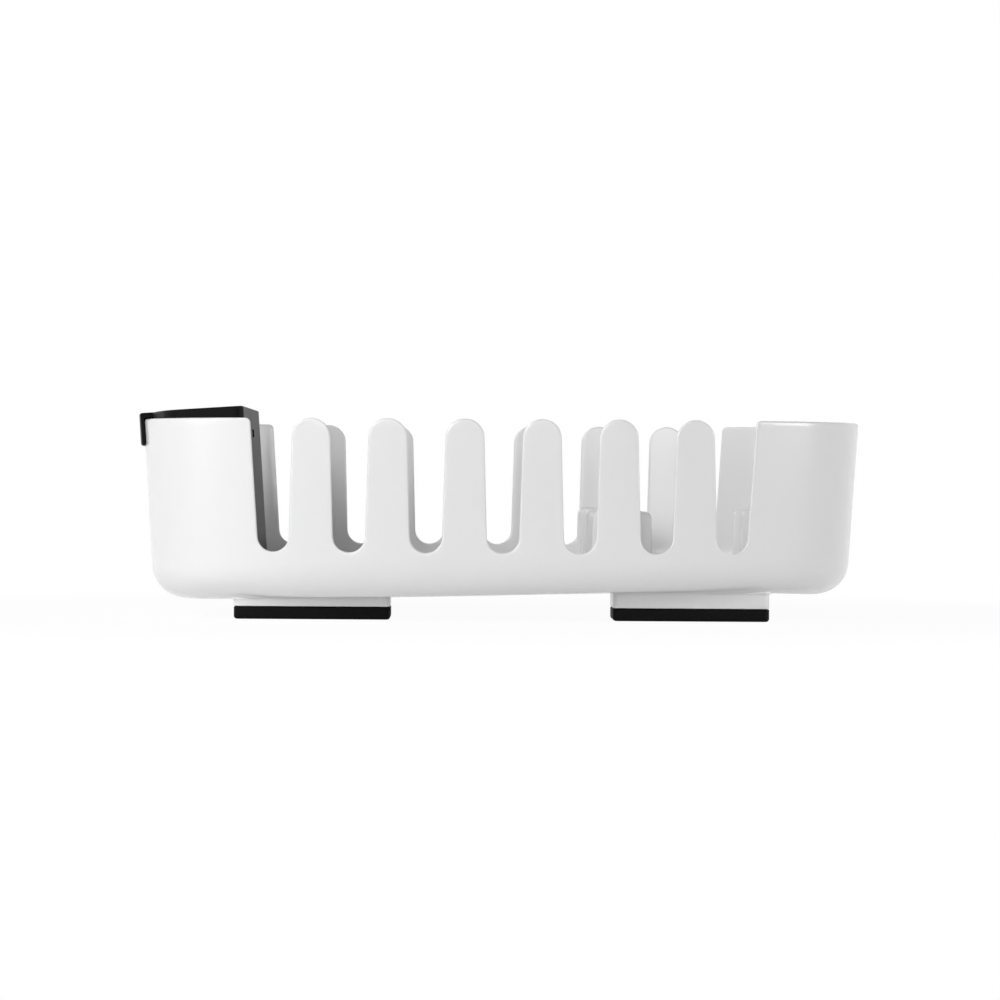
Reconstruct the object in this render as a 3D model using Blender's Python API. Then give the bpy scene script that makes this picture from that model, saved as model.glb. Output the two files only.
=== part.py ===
"""Compact self-draining dish rack with its hook-on cutlery drainer.

Blender 4.5, metres, +Z up. The rack stands on z = 0 and the world origin lies under the middle of
the whole assembly. The long sides face -Y (the side the photograph shows) and +Y. The cutlery
drainer hangs on the -X end, which is also the low end of the floor, where the water runs out.

Each physical piece is one named object and one closed body:
the moulded tray, four foot pads, the cutlery drainer and its clip-in divider.
"""

import math

import bmesh
import bpy
from mathutils import Matrix, Vector

# Fits
SEAT_GAP = 0.0003              # air left between two pieces that touch
WELD = 0.00001                 # vertices closer than this are one vertex

# Tray: plan, walls and floor
TRAY_HALF_LENGTH = 0.1895      # at the rim, along X
TRAY_HALF_WIDTH = 0.162        # at the rim, along Y
PLAN_POWER = 2.9               # exponent of the rounded-rectangle plan curve
PLAN_STEPS = 112               # points round the plan curve
RIM_Z = 0.10245                # height of the rim above the table
DRAFT = math.radians(3.8)      # outward lean of every wall
WALL = 0.0025                  # thickness of walls and floor
BOTTOM_RADIUS = 0.0194         # rounding between wall and underside
BOTTOM_STEPS = 6
RIM_STEPS = 4
UNDERSIDE_Z = 0.01352          # underside height at the middle of the tray
UNDERSIDE_RISE = 0.0258        # its rise per metre towards +X at the middle
UNDERSIDE_REACH = 0.150        # distance from the middle at which the next two sizes apply
UNDERSIDE_DROOP = 0.00192      # both ends bend down by this
UNDERSIDE_LEVELLING = 0.00166  # and the slope levels out by this
FLOOR_Z = 0.01602              # floor height at the middle, inside the tray
FLOOR_SLOPE = 0.0185           # rise of the floor per metre towards +X

# Tray: the comb of slots in both long sides
SLOT_COUNT = 7
SLOT_PITCH = 0.03863
SLOT_BOTTOM_Z = 0.0350
PRONG_REF_Z = 0.091            # height at which the widths below are given
PRONG_HALF_WIDTH = 0.01015
PRONG_TAPER = 0.0201           # growth of the half width per metre downwards
END_SLOT_EXTRA = 0.001945      # the outermost slots are wider by this, on their outer side
BLOCK_TAPER = 0.0670           # lean of the plain end walls' slot-side edge
BLOCK_CORNER = 0.00275         # rounding of that edge into the rim
BLOCK_CORNER_TURN = math.radians(72.0)
ARC_STEPS = 10
COMB_EDGE = 0.0007             # rounding along the cut edges of the comb
CUT_MARGIN = 0.0004            # how far a cutter passes the rim beside the comb
CUT_REACH = 0.040              # how far cutters run past what they cut
BLOCK_EDGE_X = SLOT_PITCH * SLOT_COUNT / 2.0 - PRONG_HALF_WIDTH + END_SLOT_EXTRA

# Tray: uprights standing on the floor in the +X half
UPRIGHT_WIDTH = 0.0298
UPRIGHT_THICKNESS = 0.0036
UPRIGHT_TOP_Z = 0.0563
UPRIGHT_TAPER = 0.016
UPRIGHT_CORNER = 0.0035
UPRIGHT_EDGE = 0.0009
UPRIGHT_CORNER_STEPS = 4
UPRIGHT_END_INSET = 0.0450     # rim to the outer column
UPRIGHT_PITCH_X = 0.0841       # outer column to inner column
UPRIGHT_SIDE_INSET = 0.0290    # rim to the outermost row
INNER_ROW_COUNT = 2            # rows on each side of the middle row
OUTER_ROW_COUNT = 1
UPRIGHT_PITCH_Y = (TRAY_HALF_WIDTH - UPRIGHT_SIDE_INSET) / INNER_ROW_COUNT

# Tray: drain outlet at the low end
OUTLET_HALF_WIDTH = 0.015
OUTLET_HEIGHT = 0.0060
OUTLET_CORNER = 0.0021
OUTLET_FALL = math.radians(2.6)
CHANNEL_OUTWARD = 0.030        # the channel cutter's ends, from where its height is set
CHANNEL_INWARD = 0.012
CHANNEL_SET_BACK = 0.004       # that place, behind the lip's outer edge
LIP_END_INSET = 0.0120         # rim to the lip's outer edge
LIP_LENGTH = 0.0115
LIP_MARGIN = 0.003
LIP_CORNER = 0.004
LIP_RAISE = 0.0020             # lip above the tray's underside at its root
LIP_THICKNESS = 0.0014

# Feet: hollow pedestals moulded under the floor, and the pads plugged into them
FOOT_END_INSET = 0.0526        # rim to the foot's outer end, along X
FOOT_SIDE_INSET = 0.0490       # rim to the foot's outer side, along Y
FOOT_LENGTH = 0.0800
REAR_FOOT_LENGTH = 0.0730
FOOT_WIDTH = 0.0420
FOOT_CORNER = 0.0030
FOOT_WALL = 0.0024
PAD_HEIGHT = 0.0063
PAD_PLUG_HEIGHT = 0.0026
PAD_PLUG_RIM = 0.0040
PAD_PLUG_CORNER = 0.0018
PAD_RECESS_CORNER = 0.0014
PAD_EDGE = 0.0016
PLUG_ROOT = 0.001              # how deep joined shapes start inside each other

# Cutlery drainer, in its own leaning frame: u inwards from the rim, v along Y, w up the wall
DRAINER_DEPTH_U = 0.0561       # rim to inner face
DRAINER_HALF_V = 0.0910
DRAINER_TOP_W = 0.0032
DRAINER_LIFT = 0.00662         # air between the pot and the tray's floor
DRAINER_WALL = 0.0020
DRAINER_FLOOR = 0.0022
DRAINER_CLEAR = 0.0013         # air to the inside of the tray wall
DRAINER_LIP = 0.0006           # chamfer along the pot's top edge
DRAINER_BOTTOM_W = (FLOOR_Z - FLOOR_SLOPE * TRAY_HALF_LENGTH + DRAINER_LIFT - RIM_Z) / math.cos(DRAFT)
WALL_SIDE_CORNER = 0.0160
INNER_SIDE_CORNER = 0.0045
WALL_SIDE_ROUND = 0.0100       # bottom rounding towards the tray wall
INNER_SIDE_ROUND = 0.0032
DRAINER_ROUND_STEPS = 5
WALL_SIDE_STEPS = 9            # points of the pot's plan: half its wall side,
CORNER_STEPS = 8               # its rounded outer corner,
FLANK_STEPS = 6                # its straight flank
INNER_CORNER_STEPS = 5         # and its inner corner
HOOK_HALF_V = 0.0540
HOOK_LEG = 0.0021
HOOK_LEG_BOTTOM_W = -0.0138
HOOK_EDGE = 0.0009
HOOK_STEPS = 16
CATCH_HALF_V = 0.0140          # window in the inner wall for the divider's catch
CATCH_HEIGHT = 0.0040
CATCH_MIDDLE_W = -0.0102
HOLE_ROW_COUNT = 9
HOLE_COLUMN_COUNT = 2
HOLE_PITCH_V = 0.0160
HOLE_PITCH_U = 0.0190
HOLE_LENGTH = 0.0140
HOLE_WIDTH = 0.0036
HOLE_CORNER = 0.00176
HOLE_SHIFT_U = 0.003           # the grid of holes lies this much nearer the inner wall

# Divider
DIVIDER_THICKNESS = 0.0018
DIVIDER_TOP_W = -0.0022
DIVIDER_FLANGE_HALF_V = 0.0165
DIVIDER_FLANGE_BOTTOM_W = -0.0190
DIVIDER_FLANGE = 0.0014
DIVIDER_CURVE_STEPS = 5
CATCH_SHY = 0.0008             # the catch ends this far inside the pot's inner face
RIB_REACH = 0.0032
RIB_THICKNESS = 0.0014
RIB_DROP = 0.004               # the ribs start this far under the divider's top
RIB_FOOT = 0.0175              # and end this far above the pot's bottom

# The hook stands out past the rim, so the tray is moved to keep the whole part centred on X = 0
HOOK_OVERHANG = (SEAT_GAP + HOOK_LEG) * math.cos(DRAFT) + DRAINER_TOP_W * math.sin(DRAFT)
TRAY_MIDDLE_X = HOOK_OVERHANG / 2.0


def clear_scene():
    """Remove every object that a new file starts with."""
    for item in list(bpy.data.objects):
        bpy.data.objects.remove(item, do_unlink=True)


def make_material(name, colour, roughness):
    """Return a plain Principled material."""
    material = bpy.data.materials.new(name)
    material.use_nodes = True
    shader = material.node_tree.nodes["Principled BSDF"]
    shader.inputs["Base Color"].default_value = (*colour, 1.0)
    shader.inputs["Roughness"].default_value = roughness
    return material


def object_from_bmesh(name, work, material=None):
    """Store a bmesh as a new object with outward normals."""
    bmesh.ops.recalc_face_normals(work, faces=work.faces)
    mesh = bpy.data.meshes.new(name)
    work.to_mesh(mesh)
    work.free()
    item = bpy.data.objects.new(name, mesh)
    bpy.context.scene.collection.objects.link(item)
    if material is not None:
        mesh.materials.append(material)
    return item


def loft(name, rings, cap=None):
    """Join rings of equal point count into one closed body.

    Each end is closed by one face, or by cap(work, loop) when a cap function is given.
    """
    work = bmesh.new()
    loops = [[work.verts.new(point) for point in ring] for ring in rings]
    count = len(rings[0])
    for lower, upper in zip(loops, loops[1:]):
        for index in range(count):
            after = (index + 1) % count
            work.faces.new((lower[index], lower[after], upper[after], upper[index]))
    for loop in (loops[0], loops[-1]):
        if cap is None:
            work.faces.new(loop)
        else:
            cap(work, loop)
    return object_from_bmesh(name, work)


def strip_cap(work, loop):
    """Close a ring that is symmetric about the X axis with strips along Y."""
    count = len(loop)
    for index in range(count // 2):
        strip = [loop[index], loop[index + 1], loop[(count - index - 1) % count],
                 loop[(count - index) % count]]
        work.faces.new(list(dict.fromkeys(strip)))


def extrude_outline(name, outline, axis, start, end):
    """Extrude a closed outline along "X" (outline in Y, Z), "Y" (in X, Z) or "Z" (in X, Y)."""
    work = bmesh.new()
    if axis == "X":
        ring = [work.verts.new((start, a, b)) for a, b in outline]
        step = Vector((end - start, 0.0, 0.0))
    elif axis == "Y":
        ring = [work.verts.new((a, start, b)) for a, b in outline]
        step = Vector((0.0, end - start, 0.0))
    else:
        ring = [work.verts.new((a, b, start)) for a, b in outline]
        step = Vector((0.0, 0.0, end - start))
    face = work.faces.new(ring)
    grown = bmesh.ops.extrude_face_region(work, geom=[face])
    moved = [part for part in grown["geom"] if isinstance(part, bmesh.types.BMVert)]
    bmesh.ops.translate(work, verts=moved, vec=step)
    return object_from_bmesh(name, work)


def combine(target, tool, operation):
    """Apply an exact Boolean to the target and drop the tool object."""
    tool.hide_render = True
    tool.display_type = "WIRE"
    modifier = target.modifiers.new(operation.title(), "BOOLEAN")
    modifier.operation = operation
    modifier.solver = "EXACT"
    modifier.object = tool
    bake_modifiers(target)
    bpy.data.objects.remove(tool, do_unlink=True)


def bake_modifiers(item):
    """Replace the object's mesh by the result of its modifiers."""
    graph = bpy.context.evaluated_depsgraph_get()
    fresh = bpy.data.meshes.new_from_object(item.evaluated_get(graph))
    item.modifiers.clear()
    stale = item.data
    item.data = fresh
    fresh.name = stale.name
    bpy.data.meshes.remove(stale)


def bevel_edges(item, chosen, width, segments):
    """Round the edges of an object for which chosen(edge) is true."""
    work = bmesh.new()
    work.from_mesh(item.data)
    edges = [edge for edge in work.edges if chosen(edge)]
    bmesh.ops.bevel(work, geom=edges, offset=width, segments=segments, profile=0.5,
                    affect="EDGES", clamp_overlap=True)
    bmesh.ops.remove_doubles(work, verts=work.verts, dist=WELD)
    bmesh.ops.recalc_face_normals(work, faces=work.faces)
    work.to_mesh(item.data)
    work.free()


def clean_mesh(item):
    """Weld doubled vertices and remove faces without area."""
    work = bmesh.new()
    work.from_mesh(item.data)
    bmesh.ops.remove_doubles(work, verts=work.verts, dist=WELD)
    bmesh.ops.dissolve_degenerate(work, dist=WELD, edges=work.edges)
    bmesh.ops.recalc_face_normals(work, faces=work.faces)
    work.to_mesh(item.data)
    work.free()


def shade(item, degrees):
    """Shade smooth, with edges sharper than the angle kept crisp."""
    for polygon in item.data.polygons:
        polygon.use_smooth = True
    item.data.set_sharp_from_angle(angle=math.radians(degrees))


def plan_point(turn, inset):
    """Point of the tray's plan curve, moved inwards by inset, about the tray's own middle."""
    half_length = TRAY_HALF_LENGTH - inset
    half_width = TRAY_HALF_WIDTH - inset
    across = math.cos(turn)
    along = math.sin(turn)
    x = math.copysign(abs(across) ** (2.0 / PLAN_POWER), across) * half_length
    y = math.copysign(abs(along) ** (2.0 / PLAN_POWER), along) * half_width
    return x, y


def plan_x_at(y, inset):
    """Half length of the plan curve at a given Y."""
    share = abs(y) / (TRAY_HALF_WIDTH - inset)
    return (TRAY_HALF_LENGTH - inset) * (1.0 - share ** PLAN_POWER) ** (1.0 / PLAN_POWER)


def underside_z(x):
    """Height of the underside at a given X: it slopes, levels out and droops at both ends."""
    share = x / UNDERSIDE_REACH
    bend = UNDERSIDE_DROOP * share ** 4 + UNDERSIDE_LEVELLING * share ** 3
    return UNDERSIDE_Z + UNDERSIDE_RISE * x - bend


def floor_z(x):
    """Height of the flat sloping floor inside the tray."""
    return FLOOR_Z + FLOOR_SLOPE * x


def wall_ring(inset_of, height_of):
    """One ring of the tray: the same inset all round, the height a function of X."""
    ring = []
    for step in range(PLAN_STEPS):
        x, y = plan_point(math.tau * step / PLAN_STEPS, inset_of)
        ring.append((x, y, height_of(x)))
    return ring


def tray_shell():
    """Loft the tray wall and floor: underside, outer wall, round rim, inner wall, floor."""
    rise = RIM_Z - UNDERSIDE_Z - BOTTOM_RADIUS * (1.0 - math.sin(DRAFT))
    middle_inset = BOTTOM_RADIUS * math.cos(DRAFT) + rise * math.tan(DRAFT)
    rings = []

    def rounding(radius, base_z, order):
        for step in order:
            angle = (math.pi / 2.0 - DRAFT) * step / BOTTOM_STEPS
            lift = radius - radius * math.cos(angle)
            inset = middle_inset - radius * math.sin(angle)
            rings.append(wall_ring(inset, lambda x, lift=lift: base_z(x) + lift))

    rounding(BOTTOM_RADIUS, underside_z, range(BOTTOM_STEPS + 1))
    edge = WALL / 2.0
    for step in range(RIM_STEPS + 1):
        angle = math.pi * step / RIM_STEPS
        inset = edge - edge * math.cos(angle)
        top = RIM_Z - edge + edge * math.sin(angle)
        rings.append(wall_ring(inset, lambda x, top=top: top))
    rounding(BOTTOM_RADIUS - WALL, floor_z, range(BOTTOM_STEPS, -1, -1))
    return loft("tray", rings, strip_cap)


def prong_edge(middle, side):
    """Straight side of a prong as (x at z = 0, slope); side is -1 for its left edge."""
    half = PRONG_HALF_WIDTH + PRONG_TAPER * PRONG_REF_Z
    return middle + side * half, -side * PRONG_TAPER


def block_edge(side):
    """Slot-side edge of the plain end wall; side is -1 for the left one."""
    return side * (BLOCK_EDGE_X - BLOCK_TAPER * PRONG_REF_Z), side * BLOCK_TAPER


def arc(middle_x, middle_z, radius, first, last):
    """Points of an arc in the X-Z plane, both ends included."""
    points = []
    for step in range(ARC_STEPS + 1):
        angle = first + (last - first) * step / ARC_STEPS
        points.append((middle_x + radius * math.cos(angle), middle_z + radius * math.sin(angle)))
    return points


def pocket_arc(left, right):
    """Round slot bottom that touches two leaning sides and the slot-bottom height."""
    left_x, left_slope = left
    right_x, right_slope = right
    left_long = math.hypot(1.0, left_slope)
    right_long = math.hypot(1.0, right_slope)
    span = right_x + right_slope * SLOT_BOTTOM_Z - left_x - left_slope * SLOT_BOTTOM_Z
    radius = span / (left_long + left_slope + right_long - right_slope)
    middle_x = left_x + left_slope * (SLOT_BOTTOM_Z + radius) + radius * left_long
    first = math.pi + math.atan(-left_slope)
    last = math.tau + math.atan(-right_slope)
    return arc(middle_x, SLOT_BOTTOM_Z + radius, radius, first, last)


def crown_arc(middle):
    """Round prong top that touches both sides of the prong and the rim height."""
    left_x, slope = prong_edge(middle, -1)
    long = math.hypot(1.0, slope)
    radius = (middle - left_x - slope * RIM_Z) / (long - slope)
    tilt = math.atan(slope)
    return arc(middle, RIM_Z - radius, radius, math.pi - tilt, tilt)


def block_arc(side):
    """Small rounding from the rim into the slot-side edge of an end wall."""
    edge_x, slope = block_edge(side)
    long = math.hypot(1.0, slope)
    middle_z = RIM_Z - BLOCK_CORNER
    middle_x = edge_x + slope * middle_z + side * BLOCK_CORNER * long
    tilt = math.atan(abs(slope))
    points = arc(middle_x, middle_z, BLOCK_CORNER, BLOCK_CORNER_TURN, -tilt)
    if side > 0:
        points = [(2.0 * middle_x - x, z) for x, z in reversed(points)]
    return points


def comb_outline():
    """Outline of everything cut away between the end walls, above the comb."""
    high = RIM_Z + CUT_REACH
    prongs = [(index - (SLOT_COUNT - 2) / 2.0) * SLOT_PITCH for index in range(SLOT_COUNT - 1)]
    first = block_arc(-1)
    last = block_arc(1)
    start_x = first[0][0] - CUT_MARGIN
    end_x = last[-1][0] + CUT_MARGIN
    outline = [(start_x, high), (start_x, RIM_Z + CUT_MARGIN)]
    outline.extend(first)
    left = block_edge(-1)
    for middle in prongs:
        outline.extend(pocket_arc(left, prong_edge(middle, -1)))
        outline.extend(crown_arc(middle))
        left = prong_edge(middle, 1)
    outline.extend(pocket_arc(left, block_edge(1)))
    outline.extend(last)
    outline.extend([(end_x, RIM_Z + CUT_MARGIN), (end_x, high)])
    return outline


def is_comb_edge(edge):
    """True for the sharp edges left by the comb cut in the two long walls."""
    if len(edge.link_faces) != 2:
        return False
    if edge.calc_face_angle() < math.radians(50.0):
        return False
    middle = (edge.verts[0].co + edge.verts[1].co) / 2.0
    return abs(middle.x) < BLOCK_EDGE_X + BLOCK_CORNER and middle.z > SLOT_BOTTOM_Z - 0.002


def rounded_rectangle(middle_x, middle_y, length, width, radius, steps=4):
    """Closed outline of a rectangle with round corners."""
    points = []
    corners = ((1, 1, 0.0), (-1, 1, 0.5), (-1, -1, 1.0), (1, -1, 1.5))
    for side_x, side_y, turn in corners:
        corner_x = middle_x + side_x * (length / 2.0 - radius)
        corner_y = middle_y + side_y * (width / 2.0 - radius)
        for step in range(steps + 1):
            angle = math.pi * (turn + 0.5 * step / steps)
            points.append((corner_x + radius * math.cos(angle),
                           corner_y + radius * math.sin(angle)))
    return points


def feet():
    """Yield name, middle X, middle Y and length of each foot."""
    middle_y = TRAY_HALF_WIDTH - FOOT_SIDE_INSET - FOOT_WIDTH / 2.0
    outer_x = TRAY_HALF_LENGTH - FOOT_END_INSET
    for row, side_y, length in (("front", -1, FOOT_LENGTH), ("rear", 1, REAR_FOOT_LENGTH)):
        for end, side_x in (("left", -1), ("right", 1)):
            middle_x = outer_x - length / 2.0
            yield "foot_pad_" + row + "_" + end, side_x * middle_x, side_y * middle_y, length


def add_pedestals(tray):
    """Join a hollow pedestal to the underside over each foot pad."""
    for name, x, y, length in feet():
        bottom = PAD_HEIGHT + SEAT_GAP
        top = underside_z(x) + WALL / 2.0
        outer = rounded_rectangle(x, y, length, FOOT_WIDTH, FOOT_CORNER)
        inner = rounded_rectangle(x, y, length - 2.0 * FOOT_WALL, FOOT_WIDTH - 2.0 * FOOT_WALL,
                                  PAD_PLUG_CORNER)
        pedestal = extrude_outline(name + "_pedestal", outer, "Z", bottom, top)
        ends = (underside_z(x - length / 2.0), underside_z(x + length / 2.0))
        hollow_top = min(ends) - SEAT_GAP
        hollow = extrude_outline(name + "_hollow", inner, "Z", bottom - CUT_REACH, hollow_top)
        combine(pedestal, hollow, "DIFFERENCE")
        combine(tray, pedestal, "UNION")


def upright_outline(column_x, root_z):
    """Outline of one upright: slightly tapered, with round top corners."""
    half = UPRIGHT_WIDTH / 2.0
    foot_half = half + UPRIGHT_TAPER * (UPRIGHT_TOP_Z - root_z)
    outline = [(column_x - foot_half, root_z), (column_x + foot_half, root_z)]
    for side, turn in ((1, 0.0), (-1, 0.5)):
        corner_x = column_x + side * (half - UPRIGHT_CORNER)
        for step in range(UPRIGHT_CORNER_STEPS + 1):
            angle = math.pi * (turn + 0.5 * step / UPRIGHT_CORNER_STEPS)
            outline.append((corner_x + UPRIGHT_CORNER * math.cos(angle),
                            UPRIGHT_TOP_Z - UPRIGHT_CORNER + UPRIGHT_CORNER * math.sin(angle)))
    return outline


def add_uprights(tray):
    """Join the rows of thin uprights to the floor."""
    outer_x = TRAY_HALF_LENGTH - UPRIGHT_END_INSET
    columns = ((outer_x - UPRIGHT_PITCH_X, INNER_ROW_COUNT), (outer_x, OUTER_ROW_COUNT))
    for column_x, rows in columns:
        root_z = floor_z(column_x) - PLUG_ROOT
        outline = upright_outline(column_x, root_z)
        for row in range(-rows, rows + 1):
            near_y = row * UPRIGHT_PITCH_Y - UPRIGHT_THICKNESS / 2.0
            upright = extrude_outline("upright", outline, "Y", near_y, near_y + UPRIGHT_THICKNESS)
            bevel_edges(upright, lambda edge: round_upright_edge(edge, root_z), UPRIGHT_EDGE, 2)
            combine(tray, upright, "UNION")


def round_upright_edge(edge, root_z):
    """True for the outline edges of an upright above its root."""
    first, second = (vert.co for vert in edge.verts)
    in_face = abs(first.y - second.y) < WELD
    above = max(first.z, second.z) > root_z + WELD
    return in_face and above


def add_outlet(tray):
    """Join the short lip under the low end and cut the drain channel through the wall."""
    reach_x = TRAY_HALF_LENGTH - LIP_END_INSET
    root_x = reach_x - LIP_LENGTH
    bottom_z = underside_z(-root_x) + LIP_RAISE
    outline = rounded_rectangle(-(reach_x + root_x) / 2.0, 0.0, LIP_LENGTH,
                                2.0 * (OUTLET_HALF_WIDTH + LIP_MARGIN), LIP_CORNER)
    lip = extrude_outline("lip", outline, "Z", bottom_z, bottom_z + 2.0 * LIP_THICKNESS)
    combine(tray, lip, "UNION")
    section = rounded_rectangle(0.0, 0.0, 2.0 * OUTLET_HALF_WIDTH, OUTLET_HEIGHT, OUTLET_CORNER)
    channel = extrude_outline("channel", section, "X", -CHANNEL_OUTWARD, CHANNEL_INWARD)
    middle_z = bottom_z + LIP_THICKNESS + OUTLET_HEIGHT / 2.0
    place = Matrix.Translation((CHANNEL_SET_BACK - reach_x, 0.0, middle_z))
    channel.data.transform(place @ Matrix.Rotation(-OUTLET_FALL, 4, "Y"))
    combine(tray, channel, "DIFFERENCE")


def build_tray(material):
    """Make the white tray with its comb walls, uprights, pedestals and outlet."""
    tray = tray_shell()
    reach = TRAY_HALF_WIDTH + CUT_REACH
    comb = extrude_outline("comb", comb_outline(), "Y", -reach, reach)
    combine(tray, comb, "DIFFERENCE")
    clean_mesh(tray)
    bevel_edges(tray, is_comb_edge, COMB_EDGE, 1)
    add_pedestals(tray)
    add_uprights(tray)
    add_outlet(tray)
    clean_mesh(tray)
    finish(tray, "tray", material, 35.0)
    tray.location.x = TRAY_MIDDLE_X


def finish(item, name, material, degrees):
    """Give a piece its name, material and shading."""
    item.name = name
    item.data.name = name
    item.data.materials.clear()
    item.data.materials.append(material)
    shade(item, degrees)


def build_pads(material):
    """Make the four foot pads, each with a raised rim that plugs into its pedestal."""
    for name, x, y, length in feet():
        slab = rounded_rectangle(x, y, length, FOOT_WIDTH, FOOT_CORNER)
        pad = extrude_outline(name, slab, "Z", 0.0, PAD_HEIGHT)
        bevel_edges(pad, lambda edge: max(vert.co.z for vert in edge.verts) < WELD, PAD_EDGE, 3)
        play = FOOT_WALL + SEAT_GAP
        plug = rounded_rectangle(x, y, length - 2.0 * play, FOOT_WIDTH - 2.0 * play,
                                 PAD_PLUG_CORNER)
        rim = play + PAD_PLUG_RIM
        recess = rounded_rectangle(x, y, length - 2.0 * rim, FOOT_WIDTH - 2.0 * rim,
                                   PAD_RECESS_CORNER)
        top = PAD_HEIGHT + PAD_PLUG_HEIGHT
        combine(pad, extrude_outline("plug", plug, "Z", PAD_HEIGHT - PLUG_ROOT, top), "UNION")
        combine(pad, extrude_outline("recess", recess, "Z", PAD_HEIGHT, top + CUT_REACH),
                "DIFFERENCE")
        clean_mesh(pad)
        finish(pad, name, material, 35.0)
        pad.location.x = TRAY_MIDDLE_X


def wall_u(v, inset):
    """Distance inwards from the rim's end to the plan curve with the given inset."""
    return TRAY_HALF_LENGTH - plan_x_at(v, inset)


def wall_tilt(v, inset):
    """Angle between that curve and the Y axis."""
    step = 0.0005
    return math.atan((wall_u(v + step, inset) - wall_u(v - step, inset)) / (2.0 * step))


def drainer_plan():
    """Boundary of the drainer body as (u, v, normal u, normal v, bottom rounding).

    The wall side follows the inside of the tray's end wall; the other sides are straight.
    """
    inset = WALL + DRAINER_CLEAR
    lean = wall_tilt(DRAINER_HALF_V - WALL_SIDE_CORNER, inset)
    radius = WALL_SIDE_CORNER / (1.0 + math.sin(lean))
    middle_v = DRAINER_HALF_V - radius
    touch_v = middle_v + radius * math.sin(lean)
    middle_u = wall_u(touch_v, inset) + radius * math.cos(lean)
    half = []
    for step in range(WALL_SIDE_STEPS):
        v = touch_v * step / WALL_SIDE_STEPS
        tilt = wall_tilt(v, inset)
        half.append((wall_u(v, inset), v, math.cos(tilt), -math.sin(tilt), WALL_SIDE_ROUND))
    for step in range(CORNER_STEPS + 1):
        angle = (math.pi - lean) - (math.pi / 2.0 - lean) * step / CORNER_STEPS
        across = math.cos(angle)
        up = math.sin(angle)
        half.append((middle_u + radius * across, middle_v + radius * up, -across, -up,
                     WALL_SIDE_ROUND))
    inner_u = DRAINER_DEPTH_U - INNER_SIDE_CORNER
    for step in range(1, FLANK_STEPS):
        share = step / FLANK_STEPS
        size = WALL_SIDE_ROUND + (INNER_SIDE_ROUND - WALL_SIDE_ROUND) * share
        half.append((middle_u + (inner_u - middle_u) * share, DRAINER_HALF_V, 0.0, -1.0, size))
    for step in range(INNER_CORNER_STEPS + 1):
        angle = math.pi / 2.0 * (1.0 - step / INNER_CORNER_STEPS)
        across = math.cos(angle)
        up = math.sin(angle)
        half.append((inner_u + INNER_SIDE_CORNER * across,
                     DRAINER_HALF_V - INNER_SIDE_CORNER * (1.0 - up), -across, -up,
                     INNER_SIDE_ROUND))
    mirrored = [(u, -v, nu, -nv, size) for u, v, nu, nv, size in reversed(half[1:])]
    return half + mirrored


def drainer_body():
    """Loft the drainer's pot: underside, outer wall, lip, inner wall, inner floor."""
    plan = drainer_plan()
    rings = []

    def ring(inset, height):
        rings.append([(u + nu * inset(size), v + nv * inset(size), height(size))
                      for u, v, nu, nv, size in plan])

    for step in range(DRAINER_ROUND_STEPS + 1):
        angle = math.pi / 2.0 * step / DRAINER_ROUND_STEPS
        ring(lambda size: size * (1.0 - math.sin(angle)),
             lambda size: DRAINER_BOTTOM_W + size * (1.0 - math.cos(angle)))
    ring(lambda size: 0.0, lambda size: DRAINER_TOP_W - DRAINER_LIP)
    ring(lambda size: DRAINER_LIP, lambda size: DRAINER_TOP_W)
    ring(lambda size: DRAINER_WALL - DRAINER_LIP, lambda size: DRAINER_TOP_W)
    ring(lambda size: DRAINER_WALL, lambda size: DRAINER_TOP_W - DRAINER_LIP)
    for step in range(DRAINER_ROUND_STEPS, -1, -1):
        angle = math.pi / 2.0 * step / DRAINER_ROUND_STEPS
        ring(lambda size: DRAINER_WALL + (size - DRAINER_WALL) * (1.0 - math.sin(angle)),
             lambda size: (DRAINER_BOTTOM_W + DRAINER_FLOOR
                           + (size - DRAINER_WALL) * (1.0 - math.cos(angle))))
    return loft("cutlery_drainer", rings)


def hook_body():
    """Sweep the hook's section along the tray's end wall."""
    outer = -(SEAT_GAP + HOOK_LEG)
    root = WALL + DRAINER_CLEAR + DRAINER_WALL / 2.0
    top = DRAINER_TOP_W
    section = [
        (root, SEAT_GAP), (-SEAT_GAP, SEAT_GAP), (-SEAT_GAP, HOOK_LEG_BOTTOM_W + HOOK_EDGE),
        (-SEAT_GAP - HOOK_EDGE, HOOK_LEG_BOTTOM_W), (outer + HOOK_EDGE, HOOK_LEG_BOTTOM_W),
        (outer, HOOK_LEG_BOTTOM_W + HOOK_EDGE), (outer, top - HOOK_EDGE),
        (outer + HOOK_EDGE * 0.3, top - HOOK_EDGE * 0.3), (outer + HOOK_EDGE, top), (root, top)]
    rings = []
    for step in range(HOOK_STEPS + 1):
        v = HOOK_HALF_V * (2.0 * step / HOOK_STEPS - 1.0)
        tilt = wall_tilt(v, 0.0)
        rings.append([(wall_u(v, 0.0) + inset * math.cos(tilt), v - inset * math.sin(tilt), w)
                      for inset, w in section])
    return loft("hook", rings)


def box(name, low, high):
    """Axis-parallel box between two corners."""
    outline = [(low[0], low[1]), (high[0], low[1]), (high[0], high[1]), (low[0], high[1])]
    return extrude_outline(name, outline, "Z", low[2], high[2])


def drainer_place():
    """Where the drainer hangs: its origin is on the rim, its own Z is the way it lifts off."""
    lean = Matrix.Rotation(-DRAFT, 4, "Y")
    return Matrix.Translation((TRAY_MIDDLE_X - TRAY_HALF_LENGTH, 0.0, RIM_Z)) @ lean


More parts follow.
